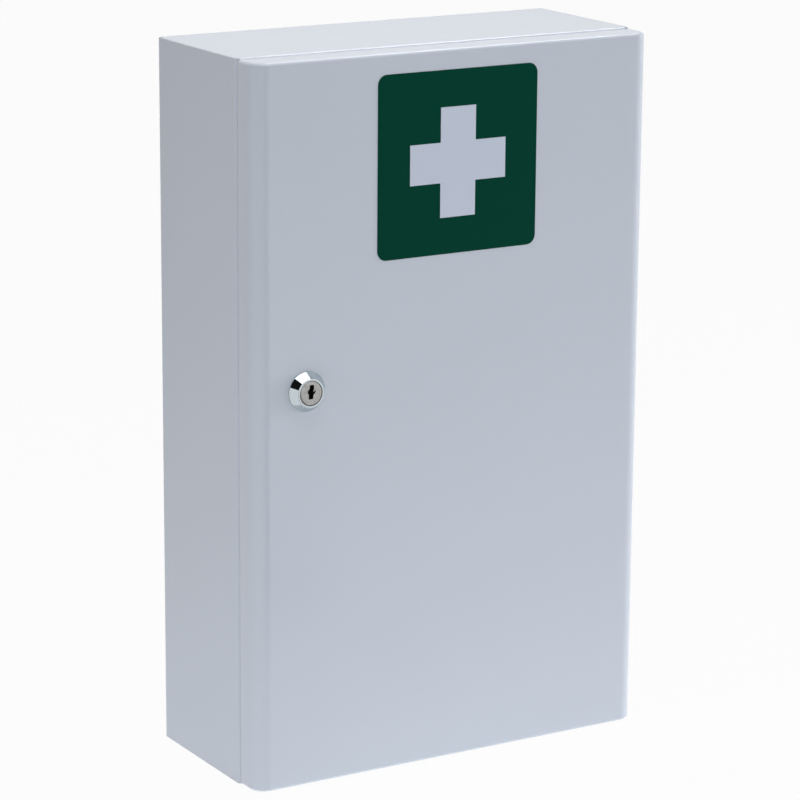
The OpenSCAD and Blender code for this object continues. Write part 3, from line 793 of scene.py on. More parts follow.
class CABINET_OT_shelf_rails(bpy.types.Operator):
    """Fold the four pierced channels that carry the shelf clips"""

    bl_idname = "cabinet.shelf_rails"
    bl_label = "Shelf Rails"

    def execute(self, context):
        sizes = sizes_of(context)
        for side, sign in (("left", 1), ("right", -1)):
            for end in ("front", "rear"):
                self.fold_rail(f"rail_{side}_{end}", sign, sizes)
        return {"FINISHED"}

    @staticmethod
    def fold_rail(name, sign, sizes):
        low, high = frame_box(name)
        wall_x = low[0] if sign > 0 else -high[0]
        depth, width, fold = high[0] - low[0], high[1] - low[1], sizes.rail_fold
        line = FoldedLine((wall_x, low[1]), 0, [
            (depth - fold, 90, fold), (width - 2 * fold, 90, fold), (depth - fold, 0, 0),
        ])
        cell = sizes.clip_hole * 0.85
        middle = line.length / 2
        centre = (high[2] + low[2]) / 2
        heights = centre + (np.arange(sizes.clip_holes) - (sizes.clip_holes - 1) / 2
                            ) * sizes.clip_pitch
        us = np.concatenate([line.lines(4), hole_lines(middle, cell, 6)])
        vs = np.concatenate([[low[2], high[2]], *(hole_lines(v, cell, 6) for v in heights)])
        edge = round_hole(sizes.clip_hole / 2)
        uv, quads = blank(us, vs, [(middle, v, cell, edge) for v in heights])
        xy, _ = line.place(uv[:, 0])
        points = np.column_stack([xy * (sign, 1), uv[:, 1]])
        make_piece(name, [(points, quads, 0)], "cabinet", "powder_coat",
                   facing=(sign, 0, 0), wall=sizes.sheet, rim=0.12 * MM)


class CABINET_OT_shelves(bpy.types.Operator):
    """Fold the two shelves, each with its front and rear edges bent down"""

    bl_idname = "cabinet.shelves"
    bl_label = "Shelves"

    def execute(self, context):
        sizes = sizes_of(context)
        for name in ("lower_shelf", "upper_shelf"):
            low, high = frame_box(name)
            depth, drop, fold = high[1] - low[1], high[2] - low[2], sizes.shelf_fold
            line = FoldedLine((low[1], low[2]), 90, [
                (drop - fold, -90, fold), (depth - 2 * fold, -90, fold), (drop - fold, 0, 0),
            ])
            uv, quads = blank(line.lines(8), spread(low[0], high[0], 4))
            yz, _ = line.place(uv[:, 0])
            points = np.column_stack([uv[:, 1], yz])
            make_piece(name, [(points, quads, 0)], "cabinet", "powder_coat",
                       facing=(0, 0, 1), wall=sizes.sheet, rim=sizes.rim)
        return {"FINISHED"}


class CABINET_OT_shelf_clips(bpy.types.Operator):
    """Turn and press the eight clips: a pin in the rail, a cut collar and a tongue"""

    bl_idname = "cabinet.shelf_clips"
    bl_label = "Shelf Clips"

    def execute(self, context):
        sizes = sizes_of(context)
        pin_r, pin_length, chamfer = sizes.clip_hole / 2 - 0.1 * MM, 4 * MM, 0.5 * MM
        collar_r, collar_t, soft = sizes.clip_hole / 2 + 1.8 * MM, 0.8 * MM, 0.2 * MM
        seat, reach, tongue_w, tongue_t = pin_r, 9 * MM, 8 * MM, 3 * MM
        tongue = rounded_corners(reach, tongue_w, 1.2 * MM)
        tongue = polygon(angles_for(tongue, parts=24), tongue) + (reach / 2, 0)
        pin = [(0, -pin_length), (pin_r - chamfer, -pin_length), (pin_r, chamfer - pin_length),
               (pin_r, 0), (collar_r, 0), (collar_r, collar_t - soft),
               (collar_r - soft, collar_t), (0, collar_t)]

        def lie(points):
            """Lays the turned pin along X and cuts its collar off level with the seat."""
            x, y, z = points.T
            return np.column_stack([z, y, np.minimum(x, seat)])

        clip = [moved(turned(pin, 40), lie), slab(tongue, seat - tongue_t, seat, 0.3 * MM)]
        for name in ("lower_shelf_clips", "upper_shelf_clips"):
            axis_z = frame_box(name)[1][2] - seat
            face_x = frame_box("rail_left_front")[1][0]
            patches = []
            for rail in ("rail_left_front", "rail_left_rear"):
                rail_low, rail_high = frame_box(rail)
                spot = (face_x, (rail_low[1] + rail_high[1]) / 2, axis_z)
                for sign in (1, -1):
                    patches += [moved(patch, lambda p: (p + spot) * (sign, 1, 1))
                                for patch in clip]
            make_piece(name, patches, "cabinet", "zinc_plate")
        return {"FINISHED"}


# ---- door ----


def return_inset(points, distance, stop, radius):
    """Moves points of the door's rear outline inwards by a distance. The outline is a rectangle
    with round corners at the left and open at the right, at stop. Its corners shrink towards
    their middle, and its sides shorten evenly, so that the returns meet on the mitres."""
    low, high = DOOR_LOW[[0, 2]], DOOR_HIGH[[0, 2]]
    x, z = points.T
    middle_z = (low[1] + high[1]) / 2
    up = np.where(z > middle_z, 1, -1)
    half = (high[1] - low[1]) / 2
    small = max(radius - distance, 0.15 * MM)
    centre_x, centre_z = low[0] + radius, middle_z + up * (half - radius)
    near_x = low[0] + distance + small
    near_z = middle_z + up * (half - distance - small)
    corner = (x < centre_x - WELD) & (np.abs(z - middle_z) > half - radius + WELD)
    side = (x < low[0] + WELD) & ~corner
    reach = np.hypot(x - centre_x, z - centre_z)
    reach = np.where(reach > 0, reach, 1)
    corner_x = near_x + (x - centre_x) / reach * small
    corner_z = near_z + (z - centre_z) / reach * small
    side_z = middle_z + (z - middle_z) * (half - distance - small) / (half - radius)
    end_x = stop - (stop - x) * (stop - near_x) / (stop - centre_x)
    end_z = middle_z + up * (half - distance)
    return np.column_stack([
        np.where(corner, corner_x, np.where(side, low[0] + distance, end_x)),
        np.where(corner, corner_z, np.where(side, side_z, end_z)),
    ])


class CABINET_OT_door_pan(bpy.types.Operator):
    """Fold the door: two large upright bends, rolled ends and returns behind"""

    bl_idname = "cabinet.door_pan"
    bl_label = "Door"

    def execute(self, context):
        sizes = sizes_of(context)
        bend, fold, hem = sizes.door_bend, sizes.door_fold, sizes.door_hem
        low, high = DOOR_LOW, DOOR_HIGH
        rear = high[1] - hem
        width = high[0] - low[0]
        line = FoldedLine((low[0], rear), -90, [
            (rear - low[1] - bend, 90, bend), (width - 2 * bend, 90, bend),
            (high[1] - low[1] - bend, 0, 0),
        ])
        stop = frame_box("lower_hinge_pin")[0][0]
        near, far = low[0] + fold, high[0] - fold
        step = 0.02 * MM
        at_stop = line.length * (np.array([stop, stop + step]) - near) / (far - near)

        straight = rear - low[1] - bend
        quarter = bend * QUARTER
        lock_u = straight + quarter + (LOCK_X - low[0] - bend)
        side_u = straight + 2 * quarter + width - 2 * bend
        ahead = sizes.hinge_lead + sizes.hinge_eye - (SEAM_Y - low[1] - bend)
        slot_u = side_u - bend * math.asin(ahead / bend)
        cell = sizes.stem + 1.5 * MM
        us = np.unique(np.round(np.concatenate([
            line.lines(12), at_stop, hole_lines(lock_u, cell), [slot_u],
        ]), 8))
        us = us[np.append(np.diff(us) > WELD, True)]
        hinge_zs = [sum(b[2] for b in frame_box(f"{end}_hinge_pin")) / 2
                    for end in ("lower", "upper")]
        half_slot = sizes.hinge_slot / 2
        vs = np.concatenate([
            [low[2] + fold, low[2] + fold + MARGIN, high[2] - fold - MARGIN, high[2] - fold],
            hole_lines(LOCK_Z, cell), *([z - half_slot, z + half_slot] for z in hinge_zs),
        ])

        def double_d(directions):
            spot = directions * (sizes.stem + 0.15 * MM)
            return np.clip(spot, (-sizes.stem_flat - 0.15 * MM, -1), (sizes.stem_flat, 1))

        middle_u = (slot_u + line.length) / 2
        holes = [(lock_u, LOCK_Z, cell, double_d)]
        holes += [(middle_u, z, (line.length - middle_u, half_slot), None) for z in hinge_zs]
        uv, quads = blank(us, vs, holes)
        xy, _ = line.place(uv[:, 0])
        patches = [(np.column_stack([xy, uv[:, 1]]), quads, 0)]

        xy, outward = line.place(us)
        across = near + (far - near) * us / line.length
        beyond = across > stop + step / 2
        back = np.column_stack([across, np.where(beyond, high[1], rear)])
        for end, up in ((low[2], 1), (high[2], -1)):
            rows = [level(xy - outward * fold * (1 - c), end + up * fold * (1 - s))
                    for s, c in quarter_turn(8)]
            edge = xy - outward * fold
            rows += [level(edge + (back - edge) * share, end) for share in (0.02, 0.5, 1)]
            patches.append(loft(rows, closed=False))

        end_row = back[~beyond][::-1, 0]
        arc = spread(0, QUARTER, 8)
        arc_x, arc_z = low[0] + fold * (1 - np.cos(arc)), fold * (1 - np.sin(arc))
        walls = np.unique(np.round(vs, 8))
        outline_x = [end_row, arc_x[::-1], np.full(len(walls), low[0]), arc_x, end_row[::-1]]
        outline_z = [np.full(len(end_row), low[2]), low[2] + arc_z[::-1], walls,
                     high[2] - arc_z, np.full(len(end_row), high[2])]
        rim = np.column_stack([np.concatenate(outline_x), np.concatenate(outline_z)])
        profile = [(hem * (1 - c), rear + hem * s) for s, c in quarter_turn(5)]
        profile += [(hem + MARGIN, high[1]), (sizes.door_return, high[1])]
        rows = []
        for distance, y in profile:
            xz = return_inset(rim, distance, stop, fold)
            rows.append(np.column_stack([xz[:, 0], np.full(len(xz), y), xz[:, 1]]))
        patches.append(loft(rows, closed=False))
        make_piece("door_pan", patches, "door", "powder_coat", facing=(0, -1, 0),
                   wall=sizes.sheet, rim=sizes.rim)
        return {"FINISHED"}


class CABINET_OT_door_buffers(bpy.types.Operator):
    """Mould the two rubber buffers as flat domes"""

    bl_idname = "cabinet.door_buffers"
    bl_label = "Door Buffers"

    def execute(self, context):
        low, high = frame_box("door_buffers")
        radius, thick = (high[0] - low[0]) / 2, high[1] - low[1]
        dome = [(0, 0), (radius, 0)]
        dome += [(radius - thick * (1 - c), thick * s) for s, c in quarter_turn(6)]
        dome += [(radius / 2, thick), (0, thick)]
        middle = (low[0] + high[0]) / 2
        patches = [moved(turned(dome, 48), upright((middle, low[1], z), 1))
                   for z in (low[2] + radius, high[2] - radius)]
        make_piece("door_buffers", patches, "door", "buffer_rubber")
        return {"FINISHED"}


class CABINET_OT_sign(bpy.types.Operator):
    """Lay the green film and the cross in it on the door"""

    bl_idname = "cabinet.sign"
    bl_label = "Sign"

    def execute(self, context):
        sizes = sizes_of(context)
        low, high = frame_box("sign_field")
        cross_low, cross_high = frame_box("sign_cross")
        play = 0.05 * MM
        span, bar = (cross_high[0] - cross_low[0]) / 2 + play, sizes.cross_bar / 2 + play
        cross = cross_corners(span, bar)
        square = rounded_corners(high[0] - low[0], high[2] - low[2], sizes.sign_corner, 10)
        angles = angles_for(cross, square, parts=24)
        hole = polygon(angles, cross)
        film = high[1] - low[1]
        middle = (low + high) / 2
        on_door = upright((middle[0], high[1], middle[2]), -1)
        field = slab(polygon(angles, square), 0, film, 0.06 * MM, inner=hole)
        inlay = slab(inset(hole, play), 0, film, 0.04 * MM)
        make_piece("sign_field", [moved(field, on_door)], "door", "green_film")
        make_piece("sign_cross", [moved(inlay, on_door)], "door", "white_film")
        return {"FINISHED"}


# ---- hinges ----


def eye_outline(angles, plate_left, plate_right, plate_y, eye, axis):
    """The outline of an arm or an ear about its axis: at each angle the longer of the eye's
    radius and the ray to the web's edge."""
    reach = eye * math.cos(QUARTER / 2)
    side = 1 if plate_y > axis[1] else -1
    web = np.array([(reach, side * reach), (plate_right - axis[0], plate_y - axis[1]),
                    (plate_left - axis[0], plate_y - axis[1]), (-reach, -side * reach)])
    return outline(angles, np.maximum(eye, ray_lengths(angles, web)))


def upright_plate(low, high, radius, edge):
    """A plate with round corners that faces along Y, between two corners of its box."""
    size, middle = high - low, (high + low) / 2
    corners = rounded_corners(size[0], size[2], radius, 5)
    rim = polygon(angles_for(corners, parts=24), corners)
    return moved(slab(rim, -size[1] / 2, size[1] / 2, edge), upright(middle, 1))


class CABINET_OT_hinges(bpy.types.Operator):
    """Make both hinges: riveted arms on the body, welded ears in the door, pins and rivets"""

    bl_idname = "cabinet.hinges"
    bl_label = "Hinges"

    arm_t = 2 * MM
    ear_t = 1.5 * MM
    play = 0.15 * MM
    edge = 0.15 * MM
    plate_corner = 1.5 * MM
    clevis_plate = 16 * MM
    pin_head = 0.8 * MM
    sunk = 0.2 * MM

    def execute(self, context):
        sizes = sizes_of(context)
        rivets = []
        for end in ("lower", "upper"):
            pin_low, pin_high = frame_box(f"{end}_hinge_pin")
            axis = (pin_low + pin_high) / 2
            self.bracket(f"{end}_body_hinge_bracket", axis, sizes, rivets)
            self.clevis(f"{end}_door_hinge_clevis", axis, sizes)
            self.pin(f"{end}_hinge_pin", pin_low, pin_high, sizes)
        make_piece("hinge_bracket_rivets", rivets, "cabinet", "zinc_plate")
        return {"FINISHED"}

    def eye(self, plate_left, plate_right, plate_y, bore, axis, low, high, sizes):
        angles = angles_for(parts=72)
        rim = eye_outline(angles, plate_left, plate_right, plate_y, sizes.hinge_eye, axis)
        patch = slab(rim, low, high, self.edge, inner=outline(angles, bore))
        return moved(patch, shift(axis[0], axis[1], 0))

    def bracket(self, name, axis, sizes, rivets):
        low, high = frame_box(name)
        rivet_low, rivet_high = frame_box("hinge_bracket_rivets")
        middle_x = (rivet_low[0] + rivet_high[0]) / 2
        plate_low = np.array([low[0], high[1] - self.ear_t, low[2]])
        plate_high = np.array([2 * middle_x - low[0], high[1], high[2]])
        half = self.arm_t / 2
        patches = [
            upright_plate(plate_low, plate_high, self.plate_corner, self.edge),
            self.eye(low[0], plate_high[0], plate_low[1], sizes.hinge_pin / 2 + 0.06 * MM,
                     axis, axis[2] - half, axis[2] + half, sizes),
        ]
        make_piece(name, patches, "cabinet", "zinc_plate")
        head_r = (rivet_high[0] - rivet_low[0]) / 2
        rise = plate_low[1] - rivet_low[1]
        dome = [(head_r * c, rise * s ** 0.8) for s, c in quarter_turn(6)]
        pin_low, pin_high = frame_box("lower_hinge_pin")
        offset = (pin_low[2] + pin_high[2]) / 2 - (rivet_low[2] + head_r)
        rivet = turned([(0, -self.sunk), (head_r, -self.sunk), *dome], 32)
        for z in (axis[2] - offset, axis[2] + offset):
            rivets.append(moved(rivet, upright((middle_x, plate_low[1], z), -1)))

    def clevis(self, name, axis, sizes):
        low, high = frame_box(name)
        plate_high = np.array([low[0] + self.clevis_plate, low[1] + self.ear_t, high[2]])
        near = self.arm_t / 2 + self.play
        patches = [upright_plate(low, plate_high, self.plate_corner, self.edge)]
        for start in (axis[2] - near - self.ear_t, axis[2] + near):
            patches.append(self.eye(low[0], plate_high[0], plate_high[1],
                                    sizes.hinge_pin / 2 + 0.01 * MM, axis,
                                    start, start + self.ear_t, sizes))
        make_piece(name, patches, "door", "zinc_plate")

    def pin(self, name, low, high, sizes):
        head_r, shank_r = (high[0] - low[0]) / 2, sizes.hinge_pin / 2
        middle = (low + high) / 2
        shank = (high[2] - low[2]) / 2 - self.pin_head
        dome = [(head_r * c, shank + self.pin_head * s) for s, c in quarter_turn(6)]
        upper = [(shank_r, 0), (shank_r, shank), *dome]
        profile = [(r, -z) for r, z in upper[:0:-1]] + upper
        make_piece(name, [moved(turned(profile, 40), shift(*middle))], "door", "zinc_plate")


# ---- lock ----


def threaded_stem(sizes, start, end, angles):
    """Rows of the stem: a round whose radius falls with a helix, as the distance of (height
    over pitch plus the share of a turn) to its nearest whole number, cut by two flats."""
    rows = []
    count = int(round((end - start) / sizes.thread_pitch * 8))
    for height in spread(start, end, count):
        phase = height / sizes.thread_pitch + angles / math.tau
        ridge = np.abs(phase - np.round(phase)) * 2
        fade = min(1, (height - start) / sizes.thread_pitch, (end - height) / sizes.thread_pitch)
        spot = outline(angles, sizes.stem - sizes.thread_depth * ridge * max(fade, 0))
        spot[:, 0] = np.clip(spot[:, 0], -sizes.stem_flat, sizes.stem_flat)
        rows.append(level(spot, height))
    return rows


class CABINET_OT_lock_barrel(bpy.types.Operator):
    """Turn the lock's housing with its conical bezel and thread, its washer and its nut"""

    bl_idname = "cabinet.lock_barrel"
    bl_label = "Lock Housing"

    soft = 0.35 * MM
    lip = 0.45 * MM
    foot = 0.15 * MM
    plug_play = 0.22 * MM
    bore_edge = 0.1 * MM
    wide_bore = 2.1 * MM
    bore_step = 1.4 * MM

    def execute(self, context):
        sizes = sizes_of(context)
        self.housing(sizes)
        self.washer(sizes)
        self.nut(sizes)
        return {"FINISHED"}

    def housing(self, sizes):
        """The upright rim, the cone and the face's lip, then the bore, black as painted shade,
        and the stem.
        """
        angles = angles_for(parts=96)
        door_d = SEAM_Y - DOOR_LOW[1]
        front, rear = SEAM_Y - BEZEL_LOW[1], SEAM_Y - BEZEL_HIGH[1]
        bezel_r = (BEZEL_HIGH[0] - BEZEL_LOW[0]) / 2
        soft, lip = self.soft, self.lip
        rim_top = door_d + sizes.bezel_rim
        slope = np.array([sizes.bezel_face - bezel_r, front - 0.4 * MM - rim_top])
        lean = math.atan2(-slope[0], slope[1])
        profile = [(bezel_r - self.foot, door_d), (bezel_r, door_d + self.foot)]
        profile += [(bezel_r - soft * (1 - math.cos(turn)), rim_top - soft
                     + soft * math.sin(turn)) for turn in spread(0, lean, 3)]
        face_r = sizes.bezel_face
        cone = np.array([profile[-1], (face_r, front - lip * (1 - math.sin(lean)))])
        profile += [tuple(cone[0] + (cone[1] - cone[0]) * share) for share in (0.05, 0.95)]
        profile += [(face_r + lip * (math.cos(turn) - math.cos(lean)) * 0.9,
                     front - lip * (1 - math.sin(turn)))
                    for turn in spread(lean, QUARTER, 5)]
        bore, narrow = sizes.plug_face + self.plug_play, sizes.stem_flat - 0.1 * MM
        inner_bore = bore - self.bore_step
        profile.append((bore + self.bore_edge, front))
        inside = [profile[-1], (bore, front - self.bore_edge), (bore, front - self.wide_bore),
                  (inner_bore, front - self.wide_bore), (inner_bore, rear), (narrow, rear)]
        stem = loft([circle(angles, narrow, rear), *threaded_stem(sizes, rear, door_d, angles),
                     circle(angles, bezel_r - self.foot, door_d)])
        # Kind 1 paints the bore's wall black: painted shade, not the chrome's own colour.
        patches = [turned(profile, 96), turned(inside, 96, kind=1), stem]
        make_lock_piece("lock_housing", patches, "door", "lock_chrome")

    @staticmethod
    def washer(sizes):
        low, high = frame_box("lock_washer")
        angles = angles_for(parts=72)
        ring = slab(outline(angles, (high[0] - low[0]) / 2), SEAM_Y - high[1],
                    SEAM_Y - low[1], 0.1 * MM, inner=outline(angles, sizes.stem + 0.15 * MM))
        make_lock_piece("lock_washer", [ring], "door", "zinc_plate")

    @staticmethod
    def nut(sizes):
        """A hexagon whose corners fall away from both faces on a cone."""
        low, high = frame_box("lock_nut")
        apothem = (high[2] - low[2]) / 2
        corners = outline(spread(0, math.tau, 6)[:-1], apothem / math.cos(math.pi / 6))
        angles = angles_for(corners, parts=72)
        hexagon = polygon(angles, corners)
        reach = np.linalg.norm(hexagon, axis=1)
        flat = apothem * 0.98
        crown = outline(angles, np.minimum(reach, flat))
        fall = np.maximum(reach - flat, 0) * 0.6
        bottom, top = SEAM_Y - high[1], SEAM_Y - low[1]
        bore, mouth, chamfer = sizes.stem + 0.12 * MM, sizes.stem + 0.6 * MM, 0.5 * MM
        rows = [level(crown, bottom), level(hexagon, bottom + fall), level(hexagon, top - fall),
                level(crown, top), circle(angles, mouth, top),
                circle(angles, bore, top - chamfer), circle(angles, bore, bottom + chamfer),
                circle(angles, mouth, bottom), level(crown, bottom)]
        make_lock_piece("lock_nut", [loft(rows)], "door", "zinc_plate")


class CABINET_OT_lock_core(bpy.types.Operator):
    """Turn the plug with its keyway, and make the cam and its screw"""

    bl_idname = "cabinet.lock_core"
    bl_label = "Lock Core"

    def execute(self, context):
        sizes = sizes_of(context)
        self.plug(sizes)
        self.cam()
        self.screw()
        refinish("lock_wafers", "wafer_brass")
        refinish("lock_stop_washer", "zinc_plate")
        refinish("cam_spring_washer", "zinc_plate")
        return {"FINISHED"}

    @staticmethod
    def plug(sizes):
        """A ring of quads from the keyway's edge to the face's rim, walls down the keyway, black
        as painted shade, and the barrel behind."""
        low, high = frame_box("lock_plug")
        front, rear = SEAM_Y - low[1], SEAM_Y - high[1]
        keyway = MM * np.array([
            (-1.4, -3.2), (1.35, -3.2), (1.4, -1.0), (1.9, -0.5), (2.6, 0.15), (2.95, 1.05),
            (2.6, 1.25), (1.9, 1.0), (1.35, 0.75), (1.5, 1.4), (1.85, 2.0), (1.85, 4.5),
            (-0.8, 4.5), (-0.85, 2.7), (-1.4, 2.1), (-2.0, 1.5), (-2.0, 0.2), (-1.3, -0.7),
        ])
        angles = angles_for(keyway, parts=96)
        slot = polygon(angles, keyway)
        soft = inset(slot, -0.05 * MM)
        face, barrel, shoulder = sizes.plug_face, 5.5 * MM, front - 1.8 * MM
        deep = SEAM_Y - frame_box("lock_wafers")[0][1] + 0.1 * MM
        edge, third = 0.2 * MM, 0.06 * MM
        rows = [level(soft, front)] + [circle(angles, radius, height) for radius, height in (
            (face - 0.9 * MM, front), (face - edge, front), (face - third, front - third),
            (face, front - edge), (face, shoulder), (barrel, shoulder), (barrel, rear),
            (0, rear),
        )]
        mouth = level(slot, front - 0.05 * MM)
        # The keyway's walls and the floor in front of the wafers are black: painted shade down
        # the slot.
        dark = [mouth, level(slot, deep), level(slot * 0, deep)]
        patches = [loft(rows), loft([level(soft, front), mouth]), loft(dark, kind=1)]
        make_lock_piece("lock_plug", patches, "lock", "lock_nickel")

    @staticmethod
    def cam():
        """A plate with round ends and a square hole, about the lock's axis."""
        low, high = frame_box("lock_cam")
        half = (high[0] - low[0]) / 2
        reach = high[2] - LOCK_Z
        turn = spread(0, math.pi, 16)
        tip = np.column_stack([half * np.cos(turn), half * np.sin(turn) + reach - half])
        heel = np.column_stack([-half * np.cos(turn), -half * np.sin(turn)])
        corners = np.vstack([tip, heel])
        half_square = 3.55 * MM
        hole = half_square * np.array([(1, 1), (-1, 1), (-1, -1), (1, -1)])
        angles = angles_for(corners, hole, parts=48)
        patch = slab(polygon(angles, corners), SEAM_Y - high[1], SEAM_Y - low[1], 0.2 * MM,
                     inner=polygon(angles, hole))
        make_lock_piece("lock_cam", [patch], "lock", "zinc_plate")

    @staticmethod
    def screw():
        """A domed head with a cross recess and its shank."""
        low, high = frame_box("cam_screw")
        head_r = (high[0] - low[0]) / 2
        rear, tip = SEAM_Y - high[1], SEAM_Y - low[1]
        head, dome, shank_r = rear + 2.3 * MM, 1.5 * MM, 2 * MM
        cross = cross_corners(2.2 * MM, 0.5 * MM)
        angles = angles_for(cross, parts=48)
        recess = polygon(angles, cross)
        rows = [level(recess * 0, rear + 1.4 * MM), level(recess * 0.55, rear + 1.1 * MM),
                level(recess, rear)]
        rows += [circle(angles, head_r * math.sin(turn) ** 0.6,
                        rear + dome * (1 - math.cos(turn)))
                 for turn in spread(math.radians(40), QUARTER, 6)]
        rows += [circle(angles, head_r, head), circle(angles, shank_r, head),
                 circle(angles, shank_r, tip), circle(angles, 0, tip)]
        make_lock_piece("cam_screw", [loft(rows)], "lock", "zinc_plate")


# ---- stage ----


class StageSettings(bpy.types.PropertyGroup):
    """The camera, the lights and the cards that the metal reflects."""

    azimuth: number("Azimuth", "Camera's turn round the object, degrees", -30.908)
    elevation: number("Elevation", "Camera above the horizon, degrees", 14.311)
    roll: number("Roll", "Camera's roll, degrees", 0.399)
    camera_at: FloatVectorProperty(name="Camera", description="Place of the camera",
                                   default=(-0.9385, -1.5614, 0.6593), subtype="XYZ",
                                   unit="LENGTH", precision=5)
    lens: number("Lens", "Focal length on a 36 mm sensor", 151.02)
    world: number("World", "Strength of the diffuse surroundings", 0.08)
    overhead: number("Overhead", "Power of the large soft box overhead", 4.0)
    top: number("Top", "Power of the soft box above", 2.14)
    table: number("Table", "Power of the light that the table throws back", 1.47)
    left: number("Left", "Power of the left soft box", 4.53)
    front: number("Front", "Power of the soft box left of the front", 3.11)
    corner: number("Corner", "Power of the soft box right of the front", 3.39)
    right: number("Right", "Power of the soft box that grazes the door from the right", 18.0)
    tint: colour("Light Tint", "Colour of the lights", (0.98, 0.99, 1.0))
    floor: colour("Floor", "Colour of the floor", (0.80, 0.80, 0.80))
    floor_glow: number("Floor Glow", "Share of plain white that the floor shows to the camera",
                       0.96)


def look_at(spot, aim):
    """The turn that points -Z from spot to aim."""
    return (Vector(aim) - Vector(spot)).to_track_quat("-Z", "Y").to_matrix().to_4x4()


def soft_box(name, spot, aim, size, power, tint, reflected=False):
    """An area lamp that the camera doesn't see, and that metal reflects only where asked."""
    data = bpy.data.lights.new(name, "AREA")
    data.shape = "RECTANGLE"
    data.size, data.size_y = size
    data.energy = power
    data.color = tint
    lamp = bpy.data.objects.new(name, data)
    lamp.matrix_world = Matrix.Translation(spot) @ look_at(spot, aim)
    lamp.visible_camera = False
    lamp.visible_glossy = reflected
    bpy.context.scene.collection.objects.link(lamp)


def round_about(azimuth, distance=1.9, height=0.4):
    """A spot at an azimuth in degrees from straight ahead of the door."""
    turn = math.radians(azimuth)
    return (math.sin(turn) * distance, -math.cos(turn) * distance, height)


def rectangle(west, east, south, north, height):
    """The corners of a level rectangle."""
    return [(west, south, height), (east, south, height), (east, north, height),
            (west, north, height)]


def seen_by(tree, *rays):
    """1 for rays of these kinds, and 0 for all others."""
    path = add(tree, "LightPath")
    seen = path.outputs[rays[0]]
    for ray in rays[1:]:
        seen = arithmetic(tree, "MAXIMUM", seen, path.outputs[ray])
    return seen


def blend(tree, share, first, second):
    """The first shader, and the second one by its share."""
    mix = add(tree, "MixShader")
    for socket, source in zip(mix.inputs, (share, first.outputs[0], second.outputs[0])):
        tree.links.new(source, socket)
    return mix.outputs[0]


def shining(tree, kind, strength):
    """A plain white that shines by itself: an emission, or the world's background."""
    return add(tree, kind, None, {"Color": (1, 1, 1, 1), "Strength": strength})


def stage_mesh(name, corners, finish):
    mesh = bpy.data.meshes.new(name)
    mesh.from_pydata(corners, [], [tuple(range(len(corners)))])
    mesh.materials.append(finish)
    thing = bpy.data.objects.new(name, mesh)
    bpy.context.scene.collection.objects.link(thing)
    return thing


